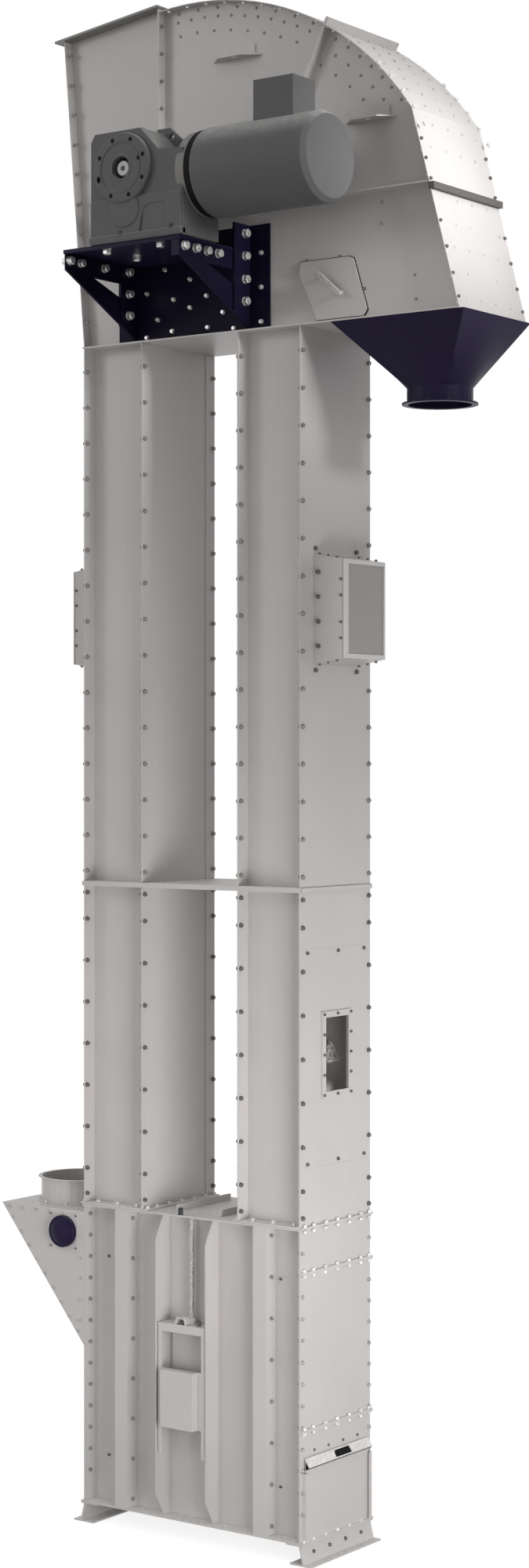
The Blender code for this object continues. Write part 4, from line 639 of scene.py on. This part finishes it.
for side, name in ((-1, "left"), (1, "right")):
    rings = []
    for inset, root_first in ((SHEET, False), (0.0, True)):
        root = (DUCT_NEAR, ROOT_Y, ROOT_LOW, ROOT_HIGH)
        tip = (DUCT_FAR, TIP_Y, TIP_LOW, TIP_HIGH)
        for x, half, low_z, high_z in (root, tip) if root_first else (tip, root):
            x, y = side * x, side * (half - inset)
            low_z, high_z = low_z + inset, high_z - inset
            rings.append([(x, -y, low_z), (x, y, low_z), (x, y, high_z), (x, -y, high_z)])
    points, faces = np.concatenate(rings), ring_faces(4, 4, loop=True)
    duct = put(f"{name}_vent_duct_sheet", points, faces, casing_paint, soften=0.0012)
    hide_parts(f"{name}_vent_duct")
    face = DUCT_FAR + EDGE
    sheet = [((side * face, -TIP_Y, TIP_LOW), (side * (face + PANEL), TIP_Y, TIP_HIGH))]
    cover = blocks(f"{name}_vent_cover", sheet, vent_paint, soften=0.001)
    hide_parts(f"{name}_vent_panel")
    face += PANEL + EDGE
    bars = [((side * face, a, c), (side * (face + PANEL), b, d)) for a, b, c, d in (
        (-TIP_Y, TIP_Y, TIP_LOW, OPEN_LOW), (-TIP_Y, TIP_Y, OPEN_HIGH, TIP_HIGH),
        (-TIP_Y, OPEN_LEFT, OPEN_LOW, OPEN_HIGH), (OPEN_RIGHT, TIP_Y, OPEN_LOW, OPEN_HIGH))]
    blocks(f"{name}_vent_frame", bars, vent_frame, soften=0.0008)
    groups.append((rows(side * OUTER_X, 0.130 * BOTH, (3.1715, 3.6060)), (side, 0, 0)))
    for end in (-1, 1):
        groups.append((rows(side * 0.514, end * 0.136, (3.257, 3.345, 3.433, 3.521)), (0, end, 0)))
        for low_z, lean, up in ((ROOT_HIGH, -0.19, 1), (ROOT_LOW, 0.178, -1)):
            slope = np.outer(duct_bolts - DUCT_NEAR, (0, 0, lean))
            rim_groups.append((rows(side * duct_bolts, end * 0.125, low_z) + slope, (0, 0, up)))
        rim_groups.append((rows(side * 0.6075, end * TIP_Y, (3.284, 3.341, 3.436, 3.493)), (0, end, 0)))
hex_bolts("vent_bolts", groups, 0.014, dull_bolts)
hex_bolts("vent_rim_bolts", rim_groups, 0.009, dull_bolts)


# Head rivets and bolts
# Round-headed rivets fasten the wear liners behind the hood and the chute. Their rows follow the hood at
# three radii from its centre. Bolts hold the flanges between the plates.
HOOD_Z = 4.435
HOOD_RADIUS = 1.170
PLATE_Y = 0.1825
RIM_Y = 0.212
RIVET = 0.0062
SHOULDER = np.array((0.965, 5.096))
THROAT = np.array((1.155, HEAD_Z))
turn = np.arange(10) * math.tau / 10
DOME = [(1.0, 0.0), (0.92, 0.27), (0.60, 0.558), (0.2, 0.675)]
rivet = RIVET * circles(turn, DOME)


def on_hood(radius, degrees):
    """Places in X and Z at an angle right of straight up."""
    t = np.radians(degrees)
    return np.stack((radius * np.sin(t), HOOD_Z + radius * np.cos(t)), 1)


def on_slope(share):
    """Places in X and Z down the chute's skin, from its shoulder at 0 to its throat at 1."""
    return SHOULDER + (THROAT - SHOULDER) * np.asarray(share, float)[..., None]


spots = [((0.951, 4.527), (0.956, 4.443), (0.817, 4.794), (0.815, 4.719))]
for radius, *span in ((1.152, -3.8, 28, 4.4), (1.122, -4.1, 28, 3.1), (1.070, -3.7, 28, 4.1),
                      (1.138, 33.0, 48, 3.2), (1.090, 34.6, 52, 3.6), (1.035, 32.5, 52, 4.3),
                      (1.139, 48.6, 52, 3.2)):
    spots.insert(-1, on_hood(radius, np.arange(*span)))
plate_rivets = np.concatenate(spots)
groups = [(np.insert(plate_rivets, 1, side * PLATE_Y, axis=1), (0, side, 0)) for side in (-1, 1)]
copies("plate_rivets", groups, rivet, grey_bolts, turns=0.0)

STAGGER = np.array(((-0.108, -0.012, 0.084, 0.180), (-0.156, -0.060, 0.036, 0.132)))
JOINT_ROW = 2
slope_out = np.array((SHOULDER[1] - THROAT[1], 0.0, THROAT[0] - SHOULDER[0]))
angles = np.arange(33.5, 54.5, 3.4)
spots = on_hood(HOOD_RADIUS, angles)
groups = [(rows(x, STAGGER[k % 2], z), (x, 0, z - HOOD_Z)) for k, (x, z) in enumerate(spots)]
for k, (x, z) in enumerate(on_slope(np.linspace(0.06, 0.94, 8))):
    if k != JOINT_ROW:
        groups.append((rows(x, STAGGER[k % 2], z), slope_out))
pale_rivets = weathered_zinc("pale_rivets", (0.52, 0.50, 0.49), 0.2, 0.5)
copies("skin_rivets", groups, rivet, pale_rivets, turns=0.0)

DIVIDER_X = -0.140
down = np.linspace(0, 1, 10)[:, None]
wall = (1 - down) * (-OUTER_X - 0.006, HEAD_Z + 0.10) + down * (-0.592 + 0.010, 5.50) + (0.0095, 0)
joint = 5.545 - 0.1005 * np.arange(8)
groups = []
for y in (CASING_Y - 0.014) * BOTH:
    groups.append((np.insert(wall, 1, y, axis=1), (1, 0, 0.085)))
    groups.append((rows(DIVIDER_X - 0.0062, y, joint), (-1, 0, 0)))
    groups.append((rows(DIVIDER_X + EDGE, y, joint), (1, 0, 0)))
hex_bolts("head_joint_bolts", groups, 0.012, grey_bolts)
edge_bolts = on_hood(HOOD_RADIUS - 0.0045, np.arange(-5, 55, 4.2))
edge_bolts = np.append(edge_bolts, on_slope(np.linspace(0.08, 0.97, 8)) - (0.0045, 0), axis=0)
inwards = np.insert((0.0, HOOD_Z) - edge_bolts, 1, 0.0, axis=1)
groups = [(np.insert(edge_bolts, 1, y, axis=1), inwards) for y in (CASING_Y - 0.013) * BOTH]
hex_bolts("head_edge_nuts", groups, 0.010, pale_bolts)
rim = on_hood(HOOD_RADIUS, np.arange(44.4, 61, 3.7))
rim_out = np.insert(rim - (0.0, HOOD_Z), 1, 0.0, axis=1)
groups = [(np.insert(rim, 1, y, axis=1), rim_out) for y in RIM_Y * BOTH]
hex_bolts("hood_rim_bolts", groups, 0.013, pale_bolts)
BOLT_Z = np.array((4.987, 4.918, 4.845, 4.697, 4.605, 4.512, 4.430))
rim = on_slope((SHOULDER[1] - BOLT_Z) / (SHOULDER[1] - HEAD_Z))
groups = [(np.insert(rim, 1, y, axis=1), slope_out) for y in RIM_Y * BOTH]
hex_bolts("chute_rim_bolts", groups, 0.011, dull_bolts)
# A bar over the chute's joint flange, coloured dark for the shade on the flange: painted shade.
joint_bar = weathered_zinc("joint_bar_shade", (0.10, 0.092, 0.086), 0.1, 0.6)
bar_x = on_slope((SHOULDER[1] - 4.838) / (SHOULDER[1] - HEAD_Z))[0]
bar_y = CASING_Y + 0.0050
blocks("chute_joint_bar", [((bar_x, -bar_y, 4.8080), (1.0588, bar_y, 4.8318))], joint_bar, soften=0.0015)


# Hatch in the chute plate
# A sheet door with a dark rubber seal round its edge, a bar handle set aslant on two posts, and four bolts.
door_edge = np.array(((0.4646, 4.577), (0.4736, 4.618), (0.6796, 4.618), (0.6986, 4.611), (0.7566, 4.428),
                      (0.7416, 4.406), (0.5426, 4.406)))
middle = door_edge.mean(axis=0)
seal = middle + (door_edge - middle) * (1.026, 1.034)
points, faces = extruded(seal, "y", -PLATE_Y - EDGE, -PLATE_Y - 0.0022)
put("hatch_seal", points, faces, black_rubber_and_shade.material)
start, end = np.array(((0.566, 4.564), (0.656, 4.487)))
run = (end - start) / np.linalg.norm(end - start)
door_y = box_of("inspection_door")[0][1] - EDGE
half_turn = np.radians(np.linspace(90, 270, 6))[:, None]
cap = 0.0105 * (np.cos(half_turn) * run + np.sin(half_turn) * (-run[1], run[0]))
points, faces = extruded(np.concatenate((start + cap, end - cap)), "y", door_y - 0.020, door_y - 0.033)
put("hatch_handle", points, faces, wall_nuts, soften=0.004)
feet = np.insert((start + run * 0.010, end - run * 0.010), 1, door_y, axis=1)
post = [(0.003, 0.0), (0.0075, 0.0), (0.0060, 0.004), (0.0060, 0.021), (0.003, 0.021)]
lathe("hatch_handle_posts", feet, (0, -1, 0), post, casing_paint, count=12)
clamps = np.array(((0.500, 4.622), (0.640, 4.622), (0.742, 4.500), (0.640, 4.398)))
hex_bolts("hatch_bolts", [(np.insert(clamps, 1, -PLATE_Y, axis=1), (0, -1, 0))], 0.010, dull_bolts)


# Bracket platform
# The drive stands on a navy steel plate whose front edge is folded down. A short tip hangs under its right
# front corner. The plate's bent outline is pulled along its width.
coat_nodes(navy_paint, ["discharge_collar", "bracket_platform"])
shaded_navy = powder_coat("shaded_navy_paint", (0.007, 0.005, 0.018), 0.5, top_light_and_dust=0.03, peel=0.7, gloss=0.06)
coat_nodes(shaded_navy, ["bracket_frame"])
low, high = box_of("bracket_platform")
edge = high[2] - np.array((0.0, 0.015, 0.008))
outline = [(high[1], edge[0]), (low[1], edge[0]), (low[1], edge[1]), (low[1] + 0.008, edge[1]),
           (low[1] + 0.008, edge[2]), (high[1], edge[2])]
points, faces = extruded(outline, "x", low[0], high[0])
tip = [((high[0] - 0.034, low[1], edge[0] - 0.071), (high[0], low[1] + 0.006, edge[1]))]
blocks("bracket_tip", tip, navy_paint, soften=0.0015)
plate = put("platform_plate", points, faces, navy_paint, soften=0.002)
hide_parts("bracket_platform")


# Discharge hopper and collar
# Navy sheet from the square throat to a round collar, with bolts round the collar's flange. At each level
# every point stands as far from the round mouth to the square edge as the level stands up the hopper.
low, high = box_of("discharge_hopper")
half = (high - low)[:2] / 2
LOFT_POINTS = 72
turn = np.arange(LOFT_POINTS) * math.tau / LOFT_POINTS
ray = np.stack((np.cos(turn), np.sin(turn)), 1)
square = ray / np.abs(ray).max(axis=1)[:, None]
outlet = box_of("discharge_collar")
outlet_middle = ((outlet[0] + outlet[1]) / 2)[:2]
OUTLET_RADIUS = 0.1165
rings = []
for inset, shares in ((SHEET, np.linspace(1, 0, 9)), (0.0, np.linspace(0, 1, 9))):
    for share in shares:
        edge = (low + high)[:2] / 2 + square * (half - inset)
        mouth = outlet_middle + ray * (OUTLET_RADIUS - inset)
        level = np.full(LOFT_POINTS, low[2] + (high[2] - low[2]) * share)
        rings.append(np.column_stack((mouth + (edge - mouth) * share, level)))
points, faces = np.concatenate(rings), ring_faces(len(rings), LOFT_POINTS, loop=True)
loft = put("discharge_loft", points, faces, navy_paint, smooth=True)
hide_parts("discharge_hopper")
low, high = box_of("discharge_collar")
middle = (low + high) / 2
turn = (np.arange(12) + 0.5) * math.tau / 12
ring = circles(turn, [(0.1255, low[2] + 0.0035)])[0] + (middle[0], 0, 0)
hex_bolts("collar_bolts", [(ring, UP)], 0.009, black_and_shade, washer=False)


# Bracket bolts
# M20 bolts with bright heads fasten the arms of the drive bracket, and M10 bolts its back plate. Two rows
# of nuts hang under the platform.
bright_heads = weathered_zinc("bright_heads", (0.66, 0.655, 0.64), 0.65, 0.35)
BRACKET_RIGHT = 0.245
BRACKET_LEFT = -0.280
arm = (-0.572, -0.507, -0.442, -0.376)
groups = [
    (rows(BRACKET_RIGHT, arm, 4.646), (1, 0, 0)),
    (rows(BRACKET_RIGHT + 0.0083, -0.225, (4.739, 4.658, 4.575, 4.496)), (1, 0, 0)),
    (rows(BRACKET_LEFT + 0.008, (-0.575, -0.513, -0.378), 4.646), (1, 0, 0)),
    (rows(BRACKET_LEFT, arm, 4.646), (-1, 0, 0)),
    (rows(BRACKET_LEFT + 0.016, -0.245, (4.649, 4.569, 4.489)), (1, 0, 0)),
]
hex_bolts("bracket_bolts", groups, 0.027, bright_heads)
nuts = rows((-0.100, 0.140), (-0.570, -0.400), box_of("bracket_platform")[1][2] - 0.008)
hex_bolts("platform_nuts", [(nuts, DOWN)], 0.027, bright_heads, rise=0.75)
small = np.array(((-0.217, 4.572), (-0.093, 4.540), (-0.017, 4.504), (-0.166, 4.472), (-0.099, 4.424),
                  (-0.217, 4.410), (-0.017, 4.607), (-0.134, 4.653), (0.058, 4.540), (0.133, 4.473),
                  (0.064, 4.424), (0.182, 4.410), (0.304, 4.670), (0.304, 4.547), (0.304, 4.423)))
back_y = box_of("bracket_frame")[1][1] - 0.008
hex_bolts("back_plate_bolts", [(np.insert(small, 1, back_y, axis=1), (0, -1, 0))], 0.014, bright_heads)


# Gear unit
# A cast housing in semi-matt grey, with rounded edges and a skin slightly rough under the paint. A turned
# flange stands round the shaft, over a raised apron with a step, and a lifting eye on top.
drive_paint = Finish("drive_paint", (0.132, 0.133, 0.134), 0.60, **{"Specular IOR Level": 0.2})
cloud = drive_paint.noise(3.0, 3.0).span(0.3, 0.7)
cast = drive_paint.noise(260.0, 3.0, 0.55)
# Upward faces of the drive lighten towards the dust colour, partly for dust and partly as painted light from
# above.
ledge = drive_paint.faces(2).span(0.35, 0.95) * (0.6 + drive_paint.noise(30.0, 4.0, 0.6).span(0.3, 0.8) * 0.4)
tone = drive_paint.mix(cloud, drive_paint.tint(0.93), drive_paint.tint(1.07))
tone = drive_paint.mix(ledge * 0.46, tone, DUST_AND_TOP_LIGHT)
drive_paint.feed(Base_Color=tone, Roughness=0.56 + cloud * 0.08 + ledge * 0.15)
drive_paint.bump(cast, 0.0005, 0.30)
drive = drive_paint.material
GEAR_FRONT, GEAR_BACK = -0.600, -0.390
GEAR_FOOT = 4.6823
GEAR_LEFT, GEAR_RIGHT = -0.151, 0.261
SHAFT_Z = 4.940


def cross(a, b):
    """The cross product of directions in a plane."""
    return a[..., 0] * b[..., 1] - a[..., 1] * b[..., 0]


def pierced(outline, centre, radius, near, far):
    """A flat outline pulled along Y with a round hole through it. Each point of the outline, taken in
    steps of a few degrees round the centre, goes with the point of the hole at the same angle."""
    start = np.asarray(outline, float) - centre
    turn = np.arange(48) * math.tau / 48
    corners = np.arctan2(start[:, 1], start[:, 0]) % math.tau
    turn = np.unique(np.concatenate((turn, corners)))
    ray = np.stack((np.cos(turn), np.sin(turn)), 1)
    run = np.roll(start, -1, axis=0) - start
    slant = cross(ray[:, None], run[None])
    slant = np.where(np.abs(slant) < 1e-12, 1e-12, slant)
    reach = cross(start, run)[None] / slant
    along = cross(start[None], ray[:, None]) / slant
    reach = np.where((reach > 0) & (along > -1e-7) & (along < 1 + 1e-7), reach, 9.0).min(axis=1)
    outer, inner = centre + ray * reach[:, None], centre + ray * radius
    around = (inner, far), (inner, near), (outer, near), (outer, far)
    rings = [np.insert(ring, 1, y, axis=1) for ring, y in around]
    return np.concatenate(rings), ring_faces(4, len(turn), loop=True)


housing = [(GEAR_LEFT, GEAR_FOOT), (GEAR_RIGHT, GEAR_FOOT), (GEAR_RIGHT, 4.984), (0.152, 4.992),
           (0.073, 5.076), (-0.133, 5.076), (GEAR_LEFT, 5.048)]
FOOT_TOP = GEAR_FOOT + 0.003
APRON_LEFT, APRON_RIGHT = GEAR_LEFT + 0.004, GEAR_RIGHT - 0.004
apron = [(APRON_LEFT, FOOT_TOP), (0.072, FOOT_TOP), (0.072, 4.712), (0.088, 4.786), (0.106, 4.800),
         (0.181, 4.802), (0.181, FOOT_TOP), (APRON_RIGHT, FOOT_TOP), (APRON_RIGHT, 4.836),
         (APRON_LEFT, 4.836)]
ramp = [(0.086, GEAR_FRONT + 0.003), (0.087, GEAR_FRONT - 0.003), (0.182, GEAR_FRONT - 0.0068),
        (0.182, GEAR_FRONT + 0.003)]
for name, (points, faces), soften, levels in (
        ("gear_housing", pierced(housing, (0.0, SHAFT_Z), 0.0395, GEAR_FRONT, GEAR_BACK), 0.009, 4),
        ("gear_apron", extruded(apron, "y", GEAR_FRONT + 0.002, GEAR_FRONT - 0.007), 0.003, 3),
        ("gear_ramp", extruded(ramp, "z", FOOT_TOP, 4.801), 0.001, 2)):
    gear = put(name, points, faces, drive, soften=soften, levels=levels)
    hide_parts("gear_unit")
flange = [(0.0395, 0.001), (0.0395, 0.0198), (0.047, 0.0198), (0.049, 0.0180), (0.086, 0.0180),
          (0.087, 0.0195), (0.088, 0.0195), (0.0885, 0.0178), (0.0905, 0.0178), (0.091, 0.0195),
          (0.118, 0.0195), (0.1225, 0.0175), (0.1245, 0.013), (0.1245, 0.001)]
lathe("gear_flange", (0.0, GEAR_FRONT, SHAFT_Z), (0, -1, 0), flange, drive, count=64, loop=True)
cover = [(0.010, 0.0), (0.066, 0.0), (0.066, 0.009), (0.063, 0.0125), (0.054, 0.0135), (0.040, 0.0135)]
lathe("gear_cover", (0.006, GEAR_FRONT, 4.795), (0, -1, 0), cover, drive, count=48)
plug = [(0.010, -0.02), (0.020, -0.02), (0.020, 0.004), (0.017, 0.007), (0.010, 0.007)]
lathe("gear_plug", (0.052, GEAR_FRONT + 0.022, 5.070), (-0.25, -0.15, 1), plug, drive, count=20)
foot_z = GEAR_FOOT + 0.026
foot = [((GEAR_LEFT, GEAR_FRONT - 0.012, GEAR_FOOT), (GEAR_RIGHT, GEAR_FRONT + 0.02, foot_z))]
blocks("gear_foot", foot, drive, soften=0.004)
eye = [(0.040, 5.030), (0.149, 4.985), (0.160, 5.042), (0.096, 5.096), (0.040, 5.096)]
points, faces = pierced(eye, (0.106, 5.062), 0.011, -0.462, -0.446)
put("gear_eye", points, faces, drive, soften=0.002)
# Black rings on the flange stand for the shade inside its tapped holes: painted shade.
turn = (np.arange(8) + 0.45) * math.tau / 8
holes = np.stack((0.105 * np.cos(turn), np.full(8, GEAR_FRONT - 0.0188), SHAFT_Z + 0.105 * np.sin(turn)), 1)
holes = np.concatenate((holes, [(0.079, GEAR_FRONT - 0.0173, 4.966), (-0.100, GEAR_FRONT - 0.0188, 4.912)]))
hole = [(0.0030, 0.0), (0.0086, 0.0), (0.0082, 0.0010), (0.0030, 0.0010)]
lathe("gear_holes", holes, (0, -1, 0), hole, black_rubber_and_shade.material, count=12)
spots = rows((-0.012, 0.216), GEAR_FRONT - 0.003, foot_z)
hex_bolts("gear_foot_bolts", [(spots, UP)], 0.016, black_and_shade, rise=0.7)
# A black disc stands for the shade in the shaft's centre hole: painted shade.
centre = [(0.004, 0.0), (0.0095, 0.0), (0.0095, 0.0006), (0.004, 0.0006)]
lathe("shaft_centre", (0.0, -0.606, SHAFT_Z), (0, -1, 0), centre, black_and_shade, 16, "head_rotor")


# Motor
# A smooth painted drum on a cast adapter ring. The adapter is painted a lighter grey than the drum for the
# light it catches, a painted highlight, and a black ring stands for the shade in the gap between them, a
# painted shade. The drum's near shoulder is rounded and its end cover is pressed, so the edge rolls over
# into a flat face.
MOTOR_Y, MOTOR_Z = -0.460, 4.910
MOTOR_START, MOTOR_END = 0.297, 0.790
lit_adapter_paint = powder_coat("adapter_highlight_paint", (0.235, 0.230, 0.225), roughness=0.55, top_light_and_dust=0.2, gloss=0.3)
ring = np.concatenate(([(0.060, 0.0), (0.100, 0.0)], arc((0.136, 0.014), 0.014, -90, 0, 7),
                       [(0.150, 0.043), (0.148, 0.045), (0.060, 0.045)]))
place = (GEAR_RIGHT - 0.0335, MOTOR_Y, MOTOR_Z)
adapter = lathe("motor_adapter", place, (1, 0, 0), ring, lit_adapter_paint, count=64)
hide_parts("motor")
# The black ring in the gap stands for the gap's shade: painted shade.
gap = [(0.060, 0.0), (0.152, 0.0), (0.153, 0.001), (0.153, 0.025), (0.152, 0.026), (0.060, 0.026)]
place = (GEAR_RIGHT + 0.0115, MOTOR_Y, MOTOR_Z)
lathe("motor_gap", place, (1, 0, 0), gap, black_rubber_and_shade.material, count=64)
length = MOTOR_END - MOTOR_START
drum = np.concatenate((
    [(0.080, 0.0), (0.130, 0.0)], arc((0.146, 0.012), 0.012, -90, 0, 7),
    [(0.158, 0.06), (0.158, length - 0.07)], arc((0.147, length - 0.024), 0.011, 0, 55, 5),
    arc((0.140, length - 0.006), 0.006, 35, 90, 4), [(0.134, length), (0.080, length)]))
drum = lathe("motor_drum", (MOTOR_START, MOTOR_Y, MOTOR_Z), (1, 0, 0), drum, drive, count=96)
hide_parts("motor")
low, high = box_of("terminal_box")
case = [((low[0], low[1], MOTOR_Z + 0.120), high)]
terminal = blocks("terminal_case", case, drive, soften=0.003)
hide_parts("terminal_box")


# Belt and buckets
# Black rubber belt, three plies thick, with pressed steel buckets bolted to it.
belt_rubber = Finish("belt_rubber", (0.022, 0.022, 0.022), 0.72)
ply = belt_rubber.noise(400.0, 2.0, stretch=(1, 1, 0.1))
dusty = belt_rubber.noise(9.0, 4.0, 0.6).span(0.35, 0.75)
tone = belt_rubber.mix(dusty * 0.35, belt_rubber.tint(1.0), (0.20, 0.17, 0.13, 1.0))
belt_rubber.feed(Base_Color=tone, Roughness=0.65 + dusty * 0.2)
belt_rubber.bump(ply, 0.0005, 0.5)
coat_nodes(belt_rubber.material, ["bucket_belt"])


# Drums and their shafts
# Turned steel drums: a rim with a slight crown and chamfered edges, one web, and a hub on a bright shaft.
# The shaft's ends are stepped down and chamfered.
DRUM_HALF = 0.140
turned_steel = weathered_zinc("turned_steel", (0.36, 0.355, 0.35), 0.35, 0.5)
for name, body, shaft in (("boot_pulley", "take_up", 0.025), ("head_pulley", "head_rotor", 0.028)):
    low, high = box_of(name)
    middle = (low + high) / 2 * (1, 0, 1)
    radius = (high[2] - low[2]) / 2
    left = [(0.010, low[1]), (shaft - 0.003, low[1]), (shaft, low[1] + 0.003), (shaft, -0.070),
            (0.050, -0.070), (0.050, -0.0065), (radius - 0.008, -0.0065), (radius - 0.008, -DRUM_HALF),
            (radius - 0.0015, -DRUM_HALF), (radius - 0.0005, -DRUM_HALF + 0.002), (radius, -0.045)]
    right = [(r, -y) for r, y in left[::-1]]
    right[-3:] = [(shaft, high[1] - 0.003), (shaft - 0.003, high[1]), (0.010, high[1])]
    drum = lathe(f"{name}_drum", middle, (0, 1, 0), left + right, turned_steel, 64, body)
    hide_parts(name)


# Stage
# A pale studio floor in a white surround. A broad lamp stands low at the front right, a small one high at
# the right for the chute's skin, one high at the front left and one low at the front. The lens and the
# place of the camera were worked out from the corners of the casing.
camera_data = bpy.data.cameras.new("camera")
camera_data.lens = 64.10
camera_data.sensor_width = 36.0
camera_data.shift_x = 0.00098
camera_data.shift_y = -0.0182
camera_data.clip_end = 200.0
camera = bpy.data.objects.new("camera", camera_data)
camera.location = MIDDLE + (6.182, -8.291, 2.868)
camera.rotation_euler = (math.radians(90), 0.0, math.radians(35.94))
scene.collection.objects.link(camera)
scene.camera = camera

world = bpy.data.worlds.new("surround")
scene.world = world
world.use_nodes = True
world.node_tree.nodes.clear()
sky = Nodes(world.node_tree)
height = sky.node("SeparateXYZ", {}, sky.node("TexCoord", {}, output="Generated"), output=2)
strength = sky.node("MapRange", {}, height, -0.35, 0.75, 0.28, 0.50)
soft = sky.node("Background", {}, (1.0, 0.99, 0.98, 1.0), strength)
seen = sky.node("Background", {}, (1.0, 1.0, 1.0, 1.0), 1.0)
sky.node("OutputWorld", {}, sky.node("MixShader", {}, sky.in_sight(), soft, seen))


def lamp(name, place, target, size, power, spread=180.0):
    data = bpy.data.lights.new(name, "AREA")
    data.shape = "RECTANGLE"
    data.size, data.size_y = size
    data.energy = power
    data.spread = math.radians(spread)
    holder = bpy.data.objects.new(name, data)
    holder.location = MIDDLE + place
    holder.rotation_euler = Vector(np.subtract(target, place)).to_track_quat("-Z", "Y").to_euler()
    holder.visible_camera = False
    scene.collection.objects.link(holder)


lamp("key_lamp", (3.55, -1.8, 0.8), (0.5, 0.0, 1.25), (2.0, 2.0), 30.0, spread=84.0)
lamp("skin_lamp", (3.5, -0.4, 5.3), (1.0, -0.1, 4.85), (0.8, 0.8), 4.8, spread=35.0)
lamp("front_lamp", (-5.0, -5.5, 6.5), (0.0, 0.0, 4.2), (2.2, 2.2), 72.0)
lamp("low_lamp", (-0.9, -6.2, 1.3), (0.0, 0.0, 0.9), (2.6, 2.6), 11.5, spread=84.0)

bpy.ops.mesh.primitive_plane_add(size=80.0)
floor = bpy.context.object
floor.name = "studio_floor"
pale = Finish("studio_floor", (0.42, 0.42, 0.42), 0.8)
plain = Shade(pale, pale.shader.outputs[0])
shining = pale.node("AddShader", {}, plain, pale.node("Emission", {}, Strength=0.82))
pick = pale.node("MixShader", {}, pale.in_sight(), plain, shining)
pale.tree.links.new(pick.socket, pale.tree.nodes["Material Output"].inputs["Surface"])
floor.data.materials.append(pale.material)

scene.view_settings.view_transform = "Standard"
